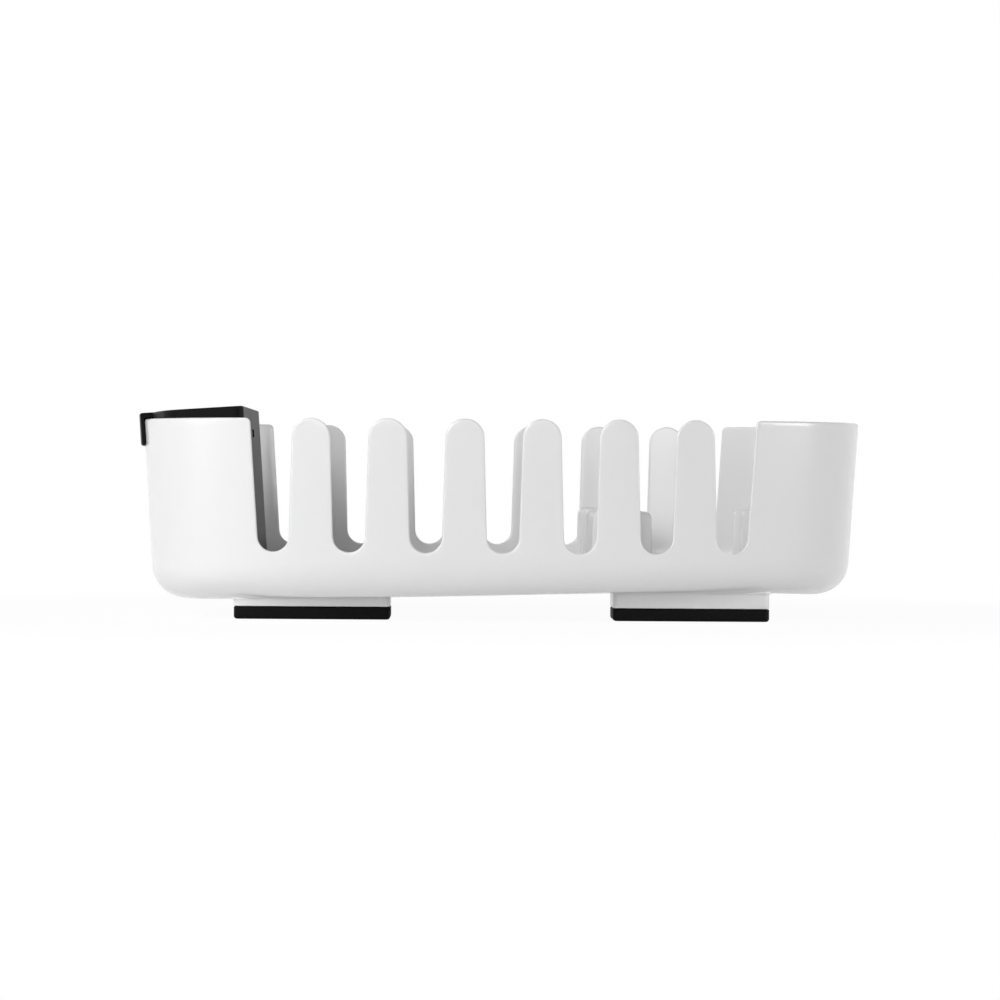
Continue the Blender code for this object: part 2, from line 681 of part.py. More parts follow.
def build_drainer(material):
    """Make the dark pot with its hook, guide ribs, catch window and drain holes."""
    pot = drainer_body()
    combine(pot, hook_body(), "UNION")
    add_ribs(pot)
    window = box("window", (DRAINER_DEPTH_U - 2.0 * DRAINER_WALL, -CATCH_HALF_V,
                            CATCH_MIDDLE_W - CATCH_HEIGHT / 2.0),
                 (DRAINER_DEPTH_U + DRAINER_WALL, CATCH_HALF_V,
                  CATCH_MIDDLE_W + CATCH_HEIGHT / 2.0))
    combine(pot, window, "DIFFERENCE")
    cut_holes(pot)
    clean_mesh(pot)
    finish(pot, "cutlery_drainer", material, 35.0)
    pot.matrix_world = drainer_place()
    return pot


def add_ribs(pot):
    """Join the two ribs that guide the divider down the wall-side wall."""
    wall_face = wall_u(0.0, WALL + DRAINER_CLEAR) + DRAINER_WALL
    rib_start = DIVIDER_THICKNESS / 2.0 + SEAT_GAP
    for side in (-1, 1):
        near = side * rib_start
        far = side * (rib_start + RIB_THICKNESS)
        rib = box("rib", (wall_face - PLUG_ROOT, min(near, far), DRAINER_BOTTOM_W + RIB_FOOT),
                  (wall_face + RIB_REACH, max(near, far), DIVIDER_TOP_W - RIB_DROP))
        combine(pot, rib, "UNION")


def cut_holes(pot):
    """Cut the grid of drain holes through the pot's floor."""
    middle_u = (WALL + DRAINER_CLEAR + DRAINER_DEPTH_U) / 2.0 + HOLE_SHIFT_U
    for column in range(HOLE_COLUMN_COUNT):
        for row in range(HOLE_ROW_COUNT):
            u = middle_u + (column - (HOLE_COLUMN_COUNT - 1) / 2.0) * HOLE_PITCH_U
            v = (row - (HOLE_ROW_COUNT - 1) / 2.0) * HOLE_PITCH_V
            outline = rounded_rectangle(u, v, HOLE_LENGTH, HOLE_WIDTH, HOLE_CORNER, 3)
            hole = extrude_outline("hole", outline, "Z", DRAINER_BOTTOM_W - DRAINER_FLOOR,
                                   DRAINER_BOTTOM_W + 2.0 * DRAINER_FLOOR)
            combine(pot, hole, "DIFFERENCE")


def build_divider(material, pot):
    """Make the plate that parts the pot, with a flange and the catch in the window."""
    low_u = wall_u(0.0, WALL + DRAINER_CLEAR) + DRAINER_WALL + SEAT_GAP
    high_u = DRAINER_DEPTH_U - DRAINER_WALL - SEAT_GAP
    bottom = DRAINER_BOTTOM_W + DRAINER_FLOOR + SEAT_GAP
    cut = WALL_SIDE_ROUND - DRAINER_WALL
    small = INNER_SIDE_ROUND
    outline = [(low_u, DIVIDER_TOP_W), (low_u, bottom + cut)]
    for step in range(1, DIVIDER_CURVE_STEPS + 1):
        angle = math.pi / 2.0 * step / DIVIDER_CURVE_STEPS
        outline.append((low_u + cut * (1.0 - math.cos(angle)),
                        bottom + cut * (1.0 - math.sin(angle))))
    outline.extend([(high_u - small, bottom), (high_u, bottom + small), (high_u, DIVIDER_TOP_W)])
    half = DIVIDER_THICKNESS / 2.0
    divider = extrude_outline("divider", outline, "Y", -half, half)
    flange = box("flange", (high_u - DIVIDER_FLANGE, -DIVIDER_FLANGE_HALF_V,
                            DIVIDER_FLANGE_BOTTOM_W),
                 (high_u, DIVIDER_FLANGE_HALF_V, DIVIDER_TOP_W))
    combine(divider, flange, "UNION")
    catch_half = CATCH_HEIGHT / 2.0 - SEAT_GAP
    catch = box("catch", (high_u - DIVIDER_FLANGE / 2.0, -CATCH_HALF_V + SEAT_GAP,
                          CATCH_MIDDLE_W - catch_half),
                (DRAINER_DEPTH_U - CATCH_SHY, CATCH_HALF_V - SEAT_GAP, CATCH_MIDDLE_W + catch_half))
    combine(divider, catch, "UNION")
    clean_mesh(divider)
    finish(divider, "drainer_divider", material, 35.0)
    divider.parent = pot
    return divider


def main():
    """Build every piece."""
    clear_scene()
    white = make_material("white_plastic", (0.86, 0.86, 0.87), 0.28)
    charcoal = make_material("charcoal_plastic", (0.035, 0.036, 0.038), 0.32)
    dark = make_material("divider_plastic", (0.030, 0.031, 0.033), 0.38)
    rubber = make_material("soft_black_pad", (0.012, 0.012, 0.013), 0.72)
    build_tray(white)
    build_pads(rubber)
    pot = build_drainer(charcoal)
    build_divider(dark, pot)
    report()


def report():
    """Print the size and the triangle count of every piece."""
    total = 0
    for item in bpy.data.objects:
        work = bmesh.new()
        work.from_mesh(item.data)
        open_edges = sum(1 for edge in work.edges if len(edge.link_faces) != 2)
        volume = work.calc_volume(signed=True)
        work.free()
        item.data.calc_loop_triangles()
        triangles = len(item.data.loop_triangles)
        total += triangles
        print(item.name, triangles, "open", open_edges, "cm3", round(volume * 1e6, 2),
              [round(value * 1000.0, 1) for value in item.dimensions])
    print("triangles", total)


main()
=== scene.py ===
"""Looks of the self-draining dish rack and its hook-on cutlery drainer.

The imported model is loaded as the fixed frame. Each of its pieces is then replaced by a finer
surface in the same place. The sizes below are the part's own, in metres, but for the prongs, which
are a little slimmer at their tops. Every surface is worked out on a grid as whole arrays. The
tray's own middle lies TRAY_MIDDLE_X beside the world origin.
"""

import logging
import math
from dataclasses import dataclass, field, replace
from enum import Enum

import bmesh
import bpy
import numpy as np
from mathutils import Matrix, Vector

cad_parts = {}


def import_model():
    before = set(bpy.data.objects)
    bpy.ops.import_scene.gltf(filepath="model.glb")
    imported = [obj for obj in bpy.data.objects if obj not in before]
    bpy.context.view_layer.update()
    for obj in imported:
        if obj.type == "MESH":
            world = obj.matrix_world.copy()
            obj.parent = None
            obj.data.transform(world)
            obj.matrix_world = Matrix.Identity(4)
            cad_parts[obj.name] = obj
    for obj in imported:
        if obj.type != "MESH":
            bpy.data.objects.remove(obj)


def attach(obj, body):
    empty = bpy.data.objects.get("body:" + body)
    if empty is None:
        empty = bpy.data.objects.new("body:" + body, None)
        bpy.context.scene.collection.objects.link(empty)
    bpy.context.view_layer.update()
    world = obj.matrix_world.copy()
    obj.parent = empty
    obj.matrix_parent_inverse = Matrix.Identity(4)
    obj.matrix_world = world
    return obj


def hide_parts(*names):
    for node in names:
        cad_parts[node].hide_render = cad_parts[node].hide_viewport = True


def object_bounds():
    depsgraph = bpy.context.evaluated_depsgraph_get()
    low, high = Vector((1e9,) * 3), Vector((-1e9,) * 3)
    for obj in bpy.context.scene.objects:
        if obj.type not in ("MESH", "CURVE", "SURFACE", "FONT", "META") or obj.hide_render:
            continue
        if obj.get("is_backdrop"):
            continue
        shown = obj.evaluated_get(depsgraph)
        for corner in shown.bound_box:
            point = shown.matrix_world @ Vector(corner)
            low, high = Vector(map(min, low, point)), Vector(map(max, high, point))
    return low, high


LOG = logging.getLogger("dish_rack")
WELD = 2e-6                     # vertices closer than this are one vertex
SEAT_GAP = 0.0003               # air between two pieces that touch
TRAY_MIDDLE_X = 0.0013034       # the tray's middle, beside the middle of the whole rack
QUARTER = math.pi / 2.0         # a quarter turn
Amount = float | np.ndarray     # one measure, or an array of them


class Skin(Enum):
    """The two faces of the moulded wall."""

    OUTER = "outer"
    INNER = "inner"


class End(Enum):
    """The two ends of the rack along X: the low one carries the drainer."""

    LOW = -1
    HIGH = 1


class Body(Enum):
    """The bodies of the frame that pieces ride on."""

    RACK = "rack"
    DRAINER = "drainer"


def mix(first: Amount, last: Amount, share: Amount) -> Amount:
    """Straight-line blend: first + (last - first) times share."""
    return first + (last - first) * share


def circle(middle_x: float, middle_z: float, radius: float, turn: np.ndarray) -> np.ndarray:
    """Points of a circle: the middle plus radius times (cos turn, sin turn)."""
    return np.stack([middle_x + radius * np.cos(turn), middle_z + radius * np.sin(turn)], axis=-1)


def rounded_rings(half_x: np.ndarray, half_y: np.ndarray, corner: np.ndarray,
                  steps: int) -> np.ndarray:
    """Rectangles with round corners, one for each row of sizes.

    Each corner is a quarter circle: its middle plus corner times (cos, sin), from one side to the
    next.

    Args:
        half_x: half lengths, one for each ring.
        half_y: half widths.
        corner: corner radii.
        steps: segments in each corner.

    Returns:
        Array (rings, points, 2), mirrored about the X axis: point j faces point -1 - j.
    """
    quarter = np.arange(4)[:, None] * QUARTER
    turn = (quarter + np.linspace(0.0, QUARTER, steps + 1)[None, :]).ravel()
    sign_x = np.repeat([1.0, -1.0, -1.0, 1.0], steps + 1)
    sign_y = np.repeat([1.0, 1.0, -1.0, -1.0], steps + 1)
    half_x, half_y, corner = (np.asarray(a, float)[:, None] for a in (half_x, half_y, corner))
    x = sign_x * (half_x - corner) + corner * np.cos(turn)
    y = sign_y * (half_y - corner) + corner * np.sin(turn)
    return np.stack([x, y], axis=-1)


class Patchwork:
    """Grids and faces that are stitched into one closed mesh."""

    def __init__(self) -> None:
        """Starts empty."""
        self.points: list[np.ndarray] = []
        self.faces: list[list[int]] = []
        self.count = 0

    def add(self, points: np.ndarray, faces: np.ndarray) -> None:
        """Adds points and the faces that index them.

        Args:
            points: array whose last axis is x, y, z.
            faces: array (faces, corners) of indices into these points.
        """
        self.points.append(points.reshape(-1, 3))
        self.faces.extend((faces + self.count).tolist())
        self.count += self.points[-1].shape[0]

    def grid(self, points: np.ndarray, around: bool = False) -> None:
        """Adds a grid of quads.

        Args:
            points: array (rows, columns, 3).
            around: True where the last column meets the first.
        """
        if around:
            points = np.concatenate([points, points[:, :1]], axis=1)
        rows, columns = points.shape[:2]
        index = np.arange(rows * columns).reshape(rows, columns)
        corners = [index[:-1, :-1], index[1:, :-1], index[1:, 1:], index[:-1, 1:]]
        self.add(points, np.stack(corners, axis=-1).reshape(-1, 4))

    def both_sides(self, points: np.ndarray) -> None:
        """Adds a grid and its mirror image about the X-Z plane."""
        self.grid(points)
        self.grid(points * np.array([1.0, -1.0, 1.0]))

    def strips(self, ring: np.ndarray) -> None:
        """Closes a ring with quads from each point j to the point -1 - j that faces it.

        Args:
            ring: array (n, 3) with an even number of points.
        """
        half = ring.shape[0] // 2
        near = np.arange(half)
        far = ring.shape[0] - 1 - near
        quads = np.stack([near[:-1], near[1:], far[1:], far[:-1]], axis=-1)
        self.add(ring, quads)

    def polygon(self, ring: np.ndarray) -> None:
        """Closes a ring (n, 3) with one face."""
        self.add(ring, np.arange(ring.shape[0])[None, :])

    def stack(self, rings: np.ndarray) -> None:
        """Adds a closed body: rings joined in order, with strips over the first and the last.

        Args:
            rings: array (rows, points, 3).
        """
        self.grid(rings, around=True)
        self.strips(rings[0])
        self.strips(rings[-1])

    def mesh(self, name: str) -> bpy.types.Mesh:
        """Stitches everything into one mesh with its faces outwards.

        Args:
            name: the mesh's name.

        Returns:
            The new mesh.
        """
        data = bpy.data.meshes.new(name)
        data.from_pydata(np.concatenate(self.points).tolist(), [], self.faces)
        work = bmesh.new()
        work.from_mesh(data)
        bmesh.ops.remove_doubles(work, verts=work.verts, dist=WELD)
        bmesh.ops.recalc_face_normals(work, faces=work.faces)
        open_edges = sum(1 for edge in work.edges if len(edge.link_faces) != 2)
        work.to_mesh(data)
        work.free()
        LOG.info("%s: %d faces, %d open edges", name, len(data.polygons), open_edges)
        return data


@dataclass(frozen=True)
class MouldedFinish:
    """A moulded skin: colour, gloss, the faint clouding of the melt and the grain of the mould."""

    name: str
    slot: str
    colour: tuple[float, float, float]
    cloud_colour: tuple[float, float, float]
    roughness: tuple[float, float]
    cloud_size: float
    grain_size: float
    grain_height: float
    peel_size: float
    peel_height: float
    specular: float = 0.5
    subsurface: float = 0.0
    subsurface_depth: float = 0.001
    subsurface_tint: tuple[float, float, float] = (1.0, 0.95, 0.9)
    cloud_detail: float = 3.0
    grain_detail: float = 2.0
    peel_detail: float = 1.0

    def material(self) -> bpy.types.Material:
        """Builds the node material.

        A wide noise clouds the colour and the gloss. A fine noise (the mould's grain) and a middle
        one (the soft waviness of a moulded face) drive two bump nodes, one after the other.

        Returns:
            The finished material.
        """
        made = bpy.data.materials.new(self.name)
        made.use_nodes = True
        tree = made.node_tree
        shader = tree.nodes["Principled BSDF"]
        place = tree.nodes.new("ShaderNodeTexCoord")
        cloud = self._noise(tree, place, self.cloud_size, self.cloud_detail)
        tint = tree.nodes.new("ShaderNodeMix")
        tint.data_type = "RGBA"
        tint.inputs["A"].default_value = (*self.colour, 1.0)
        tint.inputs["B"].default_value = (*self.cloud_colour, 1.0)
        tree.links.new(cloud.outputs["Fac"], tint.inputs["Factor"])
        tree.links.new(tint.outputs["Result"], shader.inputs["Base Color"])
        gloss = tree.nodes.new("ShaderNodeMapRange")
        gloss.clamp = False
        gloss.inputs["To Min"].default_value = self.roughness[0]
        gloss.inputs["To Max"].default_value = self.roughness[1]
        tree.links.new(cloud.outputs["Fac"], gloss.inputs["Value"])
        tree.links.new(gloss.outputs["Result"], shader.inputs["Roughness"])
        grain = self._noise(tree, place, self.grain_size, self.grain_detail)
        peel = self._noise(tree, place, self.peel_size, self.peel_detail)
        wavy = self._bump(tree, peel, self.peel_height)
        fine = self._bump(tree, grain, self.grain_height)
        tree.links.new(wavy.outputs["Normal"], fine.inputs["Normal"])
        tree.links.new(fine.outputs["Normal"], shader.inputs["Normal"])
        shader.inputs["Specular IOR Level"].default_value = self.specular
        shader.inputs["Subsurface Weight"].default_value = self.subsurface
        shader.inputs["Subsurface Scale"].default_value = self.subsurface_depth
        shader.inputs["Subsurface Radius"].default_value = self.subsurface_tint
        return made

    @staticmethod
    def _noise(tree: bpy.types.NodeTree, place: bpy.types.Node, size: float,
               detail: float) -> bpy.types.Node:
        """Adds a noise whose patches are about as wide as size.

        Args:
            tree: the material's nodes.
            place: the coordinate node, read in object space.
            size: width of a patch in metres.
            detail: octaves of finer noise.

        Returns:
            The noise node.
        """
        noise = tree.nodes.new("ShaderNodeTexNoise")
        noise.inputs["Scale"].default_value = 1.0 / size
        noise.inputs["Detail"].default_value = detail
        tree.links.new(place.outputs["Object"], noise.inputs["Vector"])
        return noise

    @staticmethod
    def _bump(tree: bpy.types.NodeTree, noise: bpy.types.Node, height: float) -> bpy.types.Node:
        """Adds a bump node that reads a noise.

        Args:
            tree: the material's nodes.
            noise: the noise that gives the height.
            height: how far the surface seems to rise, in metres.

        Returns:
            The bump node.
        """
        bump = tree.nodes.new("ShaderNodeBump")
        bump.inputs["Strength"].default_value = 1.0
        bump.inputs["Distance"].default_value = height
        tree.links.new(noise.outputs["Fac"], bump.inputs["Height"])
        return bump


WHITE_PLASTIC = MouldedFinish(
    name="glossy_white_moulding", slot="white_plastic", colour=(0.86, 0.86, 0.865),
    cloud_colour=(0.850, 0.851, 0.856), roughness=(0.19, 0.21), cloud_size=0.05,
    grain_size=0.0004, grain_height=0.0000015, peel_size=0.008, peel_height=0.000006,
    subsurface=0.12, subsurface_depth=0.0012)
THIN_WHITE_PLASTIC = replace(
    WHITE_PLASTIC, name="thin_white_moulding", subsurface=0.6, subsurface_depth=0.004)
CHARCOAL_PLASTIC = MouldedFinish(
    name="charcoal_moulding", slot="charcoal_plastic", colour=(0.0052, 0.0054, 0.0058),
    cloud_colour=(0.0044, 0.0046, 0.0050), roughness=(0.42, 0.47), cloud_size=0.04,
    grain_size=0.0003, grain_height=0.0000020, peel_size=0.009, peel_height=0.000005,
    specular=0.06)
DIVIDER_PLASTIC = MouldedFinish(
    name="satin_divider_moulding", slot="divider_plastic", colour=(0.014, 0.0145, 0.0155),
    cloud_colour=(0.012, 0.0125, 0.0135), roughness=(0.34, 0.40), cloud_size=0.03,
    grain_size=0.0003, grain_height=0.0000040, peel_size=0.007, peel_height=0.000006,
    specular=0.25)
PAD_RUBBER = MouldedFinish(
    name="soft_black_rubber", slot="pad_rubber", colour=(0.0022, 0.0022, 0.0024),
    cloud_colour=(0.0034, 0.0034, 0.0036), roughness=(0.52, 0.64), cloud_size=0.02,
    grain_size=0.0005, grain_height=0.000020, peel_size=0.004, peel_height=0.000010,
    specular=0.07)


class Workshop:
    """Turns meshes into dressed pieces that ride on the frame."""

    def __init__(self) -> None:
        """Starts with no material made."""
        self.materials: dict[str, bpy.types.Material] = {}

    def dress(self, data: bpy.types.Mesh, finish: MouldedFinish, body: Body,
              replaces: tuple[str, ...] = (), crisp: float = 40.0) -> bpy.types.Object:
        """Makes a piece from a mesh.

        Args:
            data: the mesh, in place; its name becomes the piece's name.
            finish: the skin it gets.
            body: the body it rides on.
            replaces: the nodes of the frame that it stands for.
            crisp: edges sharper than this many degrees stay crisp.

        Returns:
            The piece.
        """
        if finish.name not in self.materials:
            self.materials[finish.name] = finish.material()
        data.materials.clear()
        data.materials.append(self.materials[finish.name])
        data.polygons.foreach_set("use_smooth", np.ones(len(data.polygons), bool))
        data.set_sharp_from_angle(angle=math.radians(crisp))
        piece = bpy.data.objects.new(data.name, data)
        bpy.context.scene.collection.objects.link(piece)
        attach(piece, body.value)
        if replaces:
            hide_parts(*replaces)
        LOG.info("%s rides on %s in %s", piece.name, body.value, finish.name)
        return piece

    @staticmethod
    def cut(data: bpy.types.Mesh, tool: bpy.types.Mesh) -> bpy.types.Mesh:
        """Takes the tool's closed bodies out of a mesh.

        Args:
            data: the mesh to cut.
            tool: the closed bodies to take away.

        Returns:
            The cut mesh, under the first one's name.
        """
        name = data.name
        whole = bpy.data.objects.new(name, data)
        cutter = bpy.data.objects.new("cutter", tool)
        for item in (whole, cutter):
            bpy.context.scene.collection.objects.link(item)
        change = whole.modifiers.new("Difference", "BOOLEAN")
        change.operation = "DIFFERENCE"
        change.solver = "EXACT"
        change.object = cutter
        graph = bpy.context.evaluated_depsgraph_get()
        fresh = bpy.data.meshes.new_from_object(whole.evaluated_get(graph))
        for item in (whole, cutter):
            bpy.data.objects.remove(item, do_unlink=True)
        bpy.data.meshes.remove(data)
        bpy.data.meshes.remove(tool)
        fresh.name = name
        return fresh

    @staticmethod
    def soften(piece: bpy.types.Object, width: float, segments: int = 3,
               sharp: float = 50.0) -> None:
        """Rounds a piece's sharp edges with a Bevel modifier.

        Args:
            piece: the piece.
            width: width of the rounding.
            segments: faces across it.
            sharp: edges over this many degrees are rounded.
        """
        bevel = piece.modifiers.new("Rounded edges", "BEVEL")
        bevel.width = width
        bevel.segments = segments
        bevel.limit_method = "ANGLE"
        bevel.angle_limit = math.radians(sharp)


@dataclass(frozen=True)
class TrayForm:
    """The curves that the whole moulding follows, about the tray's own middle."""

    half_length: float = 0.1895         # at the rim, as the half width
    half_width: float = 0.162
    power: float = 2.9                  # of the rim's plan curve, |x / A|^n + |y / B|^n = 1
    rim_z: float = 0.10245
    draft: float = math.radians(3.8)    # lean of the walls
    wall: float = 0.0025
    edge: float = 0.0010                # rounding of the rim and of the cut edges
    bottom_radius: float = 0.0194
    underside_middle: float = 0.01352   # its height at x = 0
    underside_rise: float = 0.0258      # per metre towards +X, as the floor's slope
    underside_reach: float = 0.150      # where it has drooped and levelled out by the next two
    underside_droop: float = 0.00192
    underside_levelling: float = 0.00166
    floor_middle: float = 0.01602
    floor_slope: float = 0.0185

    @property
    def shoulder_z(self) -> float:
        """Height at which the rim's rounding starts."""
        return self.rim_z - self.edge

    def over_edge(self, steps: int) -> tuple[np.ndarray, np.ndarray]:
        """The way over the rim or a cut edge: a quarter round, a flat and a quarter round.

        In the first quarter the share of the wall is (edge / wall) (1 - cos t) and the height is
        edge sin t; the last one is its mirror image.

        Args:
            steps: segments in each quarter.

        Returns:
            Shares of the wall's thickness and heights over the shoulder, between its two faces.
        """
        turn = np.linspace(0.0, QUARTER, steps + 1)[1:]
        share = self.edge / self.wall * (1.0 - np.cos(turn))
        height = self.edge * np.sin(turn)
        return np.concatenate([share, 1.0 - share[::-1]]), np.concatenate([height, height[::-1]])

    @property
    def middle_inset(self) -> float:
        """Inset at which the bottom rounding meets the flat underside.

        It is the rounding's radius times cos(draft), plus the wall's rise over the rounding times
        tan(draft).

        Returns:
            The inset.
        """
        rise = (self.rim_z - self.underside_middle
                - self.bottom_radius * (1.0 - math.sin(self.draft)))
        return self.bottom_radius * math.cos(self.draft) + rise * math.tan(self.draft)

    def plan_y(self, x: Amount, inset: Amount) -> Amount:
        """Half width at x: (B - inset) (1 - |x / (A - inset)|^n)^(1/n)."""
        share = np.abs(x) / (self.half_length - inset)
        return (self.half_width - inset) * (1.0 - share ** self.power) ** (1.0 / self.power)

    def plan_x(self, y: Amount, inset: Amount) -> Amount:
        """Half length at y: (A - inset) (1 - |y / (B - inset)|^n)^(1/n)."""
        share = np.abs(y) / (self.half_width - inset)
        return (self.half_length - inset) * (1.0 - share ** self.power) ** (1.0 / self.power)

    def base(self, x: Amount, skin: Skin) -> Amount:
        """Height of the underside or of the sloping floor.

        The floor is a straight slope. The underside is a slope less droop s^4 and levelling s^3,
        where s is x over the underside's reach.

        Args:
            x: places along the tray.
            skin: outer for the underside, inner for the floor.

        Returns:
            The heights.
        """
        if skin is Skin.INNER:
            return self.floor_middle + self.floor_slope * x
        share = x / self.underside_reach
        bend = self.underside_droop * share ** 4 + self.underside_levelling * share ** 3
        return self.underside_middle + self.underside_rise * x - bend

    def radius(self, skin: Skin) -> float:
        """Bottom rounding of a skin; both share one middle."""
        return self.bottom_radius - (self.wall if skin is Skin.INNER else 0.0)

    def inset(self, x: Amount, z: Amount, skin: Skin) -> np.ndarray:
        """How far a skin lies inside the rim's plan curve.

        Above the bottom rounding the inset falls in a straight line to the rim's own. In the
        rounding it is the middle inset less radius times sin(turn), with
        cos(turn) = 1 - lift / radius.

        Args:
            x: places along the tray.
            z: heights.
            skin: outer or inner face of the wall.

        Returns:
            The insets.
        """
        radius = self.radius(skin)
        base = self.base(x, skin)
        rim_inset = self.wall if skin is Skin.INNER else 0.0
        top_lift = radius * (1.0 - math.sin(self.draft))
        top_inset = self.middle_inset - radius * math.cos(self.draft)
        ref_z = self.rim_z - self.wall / 2.0
        fall = (ref_z - np.minimum(z, self.shoulder_z)) / (ref_z - base - top_lift)
        straight = mix(rim_inset, top_inset, fall)
        cosine = np.clip(1.0 - (z - base) / radius, -1.0, 1.0)
        curved = self.middle_inset - radius * np.sqrt(1.0 - cosine ** 2)
        return np.where(z - base >= top_lift, straight, curved)

    @staticmethod
    def world(x: Amount, y: Amount, z: Amount) -> np.ndarray:
        """Points (..., 3) in the row frame from the tray's own coordinates."""
        return np.stack(np.broadcast_arrays(x + TRAY_MIDDLE_X, y, z), axis=-1)


@dataclass(frozen=True)
class SlotSide:
    """One side of a slot in the X-Z plane, turned so that the solid is on its left."""

    spine: float                # middle line of the prong, or a line in the end wall
    foot: float                 # where the straight side would meet z = 0
    slope: float                # its lean: x = foot + slope z
    top_x: float                # middle and radius of the rounding at its top
    top_radius: float
    pocket_x: float             # middle and radius of the slot's round bottom
    pocket_radius: float
    sign: float                 # -1 where the side is mirrored


@dataclass
class TrayShell:
    """The white tray: leaning walls with their comb of slots, rounded bottom and sloping floor."""

    form: TrayForm = field(default_factory=TrayForm)
    slot_count: int = 7
    slot_pitch: float = 0.03863
    slot_bottom_z: float = 0.0350
    prong_ref_z: float = 0.091                      # height at which the widths are given
    prong_half_width: float = 0.00980
    prong_taper: float = 0.0290                     # growth of the half width per metre downwards
    end_slot_extra: float = 0.001595                # the end slots are wider, on their outer side
    block_taper: float = 0.0670                     # lean of the end walls' slot side
    block_corner: float = 0.00275                   # its rounding into the rim
    block_spine_reach: float = 0.0100               # how far past it the comb's grids end
    skirt_turn: float = math.radians(75.0)          # of the bottom rounding, where the comb ends
    pocket_share_turn: float = math.radians(40.0)   # of a slot's bottom, where a spine ends
    rim_steps: int = 4
    crown_steps: int = 12
    side_steps: int = 14
    pocket_steps: tuple[int, int] = (6, 8)
    face_steps: int = 6
    band_steps: int = 5
    end_steps: int = 44
    end_rounds: int = 6
    rounding_steps: int = 14
    floor_steps: int = 24
    outlet_half_width: float = 0.015
    outlet_height: float = 0.0060
    outlet_corner: float = 0.0021
    outlet_fall: float = math.radians(2.6)
    channel_reach: tuple[float, float] = (0.030, 0.012)     # outwards and inwards
    channel_set_back: float = 0.004
    lip_end_inset: float = 0.0120
    lip_length: float = 0.0115
    lip_margin: float = 0.003
    lip_corner: float = 0.004
    lip_raise: float = 0.0020
    lip_thickness: float = 0.0014
    lip_edge: float = 0.0006
    lip_edge_steps: int = 4
    outlet_corner_steps: int = 8

    @property
    def block_edge_x(self) -> float:
        """Where the plain end wall's slot side stands at the reference height."""
        return self.slot_pitch * self.slot_count / 2.0 - self.prong_half_width + self.end_slot_extra

    @property
    def block_spine(self) -> float:
        """Distance from the middle at which the comb's grids meet the end wall's."""
        return self.block_edge_x + self.block_spine_reach

    def slot_sides(self) -> list[SlotSide]:
        """Both sides of every slot, from the low end to the high one.

        The round slot bottom touches both leaning sides and the bottom height: its radius is the
        span at that height over the sum of (long + slope) for both sides, where long is the side's
        length per metre of height. The prong's crown touches both sides of the prong and the rim.

        Returns:
            Two sides for each slot.
        """
        half = self.prong_half_width + self.prong_taper * self.prong_ref_z
        sides = []
        for slot in range(self.slot_count):
            found = []
            for sign in (1.0, -1.0):
                element = slot if sign > 0 else slot + 1
                if element in (0, self.slot_count):
                    foot = -(self.block_edge_x - self.block_taper * self.prong_ref_z)
                    slope = -self.block_taper
                    long = math.hypot(1.0, slope)
                    top_radius = self.block_corner
                    top_z = self.form.rim_z - top_radius
                    found.append((-self.block_spine, foot, slope,
                                  foot + slope * top_z - top_radius * long, top_radius))
                else:
                    middle = sign * (element - self.slot_count / 2.0) * self.slot_pitch
                    slope = -self.prong_taper
                    long = math.hypot(1.0, slope)
                    crown = (half + slope * self.form.rim_z) / (long + slope)
                    found.append((middle, middle + half, slope, middle, crown))
            reach = [one[1] + one[2] * self.slot_bottom_z for one in found]
            longs = [math.hypot(1.0, one[2]) for one in found]
            pocket = -(reach[0] + reach[1]) / sum(
                long + one[2] for long, one in zip(longs, found))
            for sign, one, long in zip((1.0, -1.0), found, longs):
                pocket_x = one[1] + one[2] * (self.slot_bottom_z + pocket) + pocket * long
                sides.append(SlotSide(*one, pocket_x, pocket, sign))
        return sides

    def path(self, side: SlotSide) -> tuple[np.ndarray, np.ndarray]:
        """The slot's outline on one side, and the way into the solid.

        From the spine along the rim (end walls only), round the top, down the straight side and
        round the bottom to its lowest point.

        Args:
            side: the side of the slot.

        Returns:
            Points (n, 2) and unit directions (n, 2) in the X-Z plane.
        """
        tilt = math.atan(-side.slope)
        turn = np.linspace(QUARTER, tilt, self.crown_steps + 1)
        top = circle(side.top_x, self.form.rim_z - side.top_radius, side.top_radius, turn)
        low = math.pi + tilt
        share = low + self.pocket_share_turn
        bend = np.concatenate([np.linspace(low, share, self.pocket_steps[0] + 1),
                               np.linspace(share, 1.5 * math.pi, self.pocket_steps[1] + 1)[1:]])
        bottom = circle(side.pocket_x, self.slot_bottom_z + side.pocket_radius,
                        side.pocket_radius, bend)
        down = np.linspace(0.0, 1.0, self.side_steps + 1)[1:-1, None]
        straight = mix(top[-1], bottom[0], down)
        leaning = np.broadcast_to([-math.cos(tilt), -math.sin(tilt)], straight.shape)
        points = [top, straight, bottom]
        inwards = [-circle(0.0, 0.0, 1.0, turn), leaning, circle(0.0, 0.0, 1.0, bend)]
        if side.top_x != side.spine:
            along = np.linspace(0.0, 1.0, self.rim_steps + 1)[:-1, None]
            rim = mix(np.array([side.spine, self.form.rim_z]), top[0], along)
            points.insert(0, rim)
            inwards.insert(0, np.broadcast_to([0.0, -1.0], rim.shape))
        return np.concatenate(points), np.concatenate(inwards)

    def shares(self, side: SlotSide) -> np.ndarray:
        """How far down the spine each line of a cell ends: the outline's own length, from 0 to 1.

        Args:
            side: the side of the slot.

        Returns:
            The shares, one for each line that ends on the spine.
        """
        points, inwards = self.path(side)
        inner = points + self.form.edge * inwards
        steps = np.linalg.norm(np.diff(inner, axis=0), axis=1)
        length = np.concatenate([[0.0], np.cumsum(steps)])[:-self.pocket_steps[1]]
        return length / length[-1]

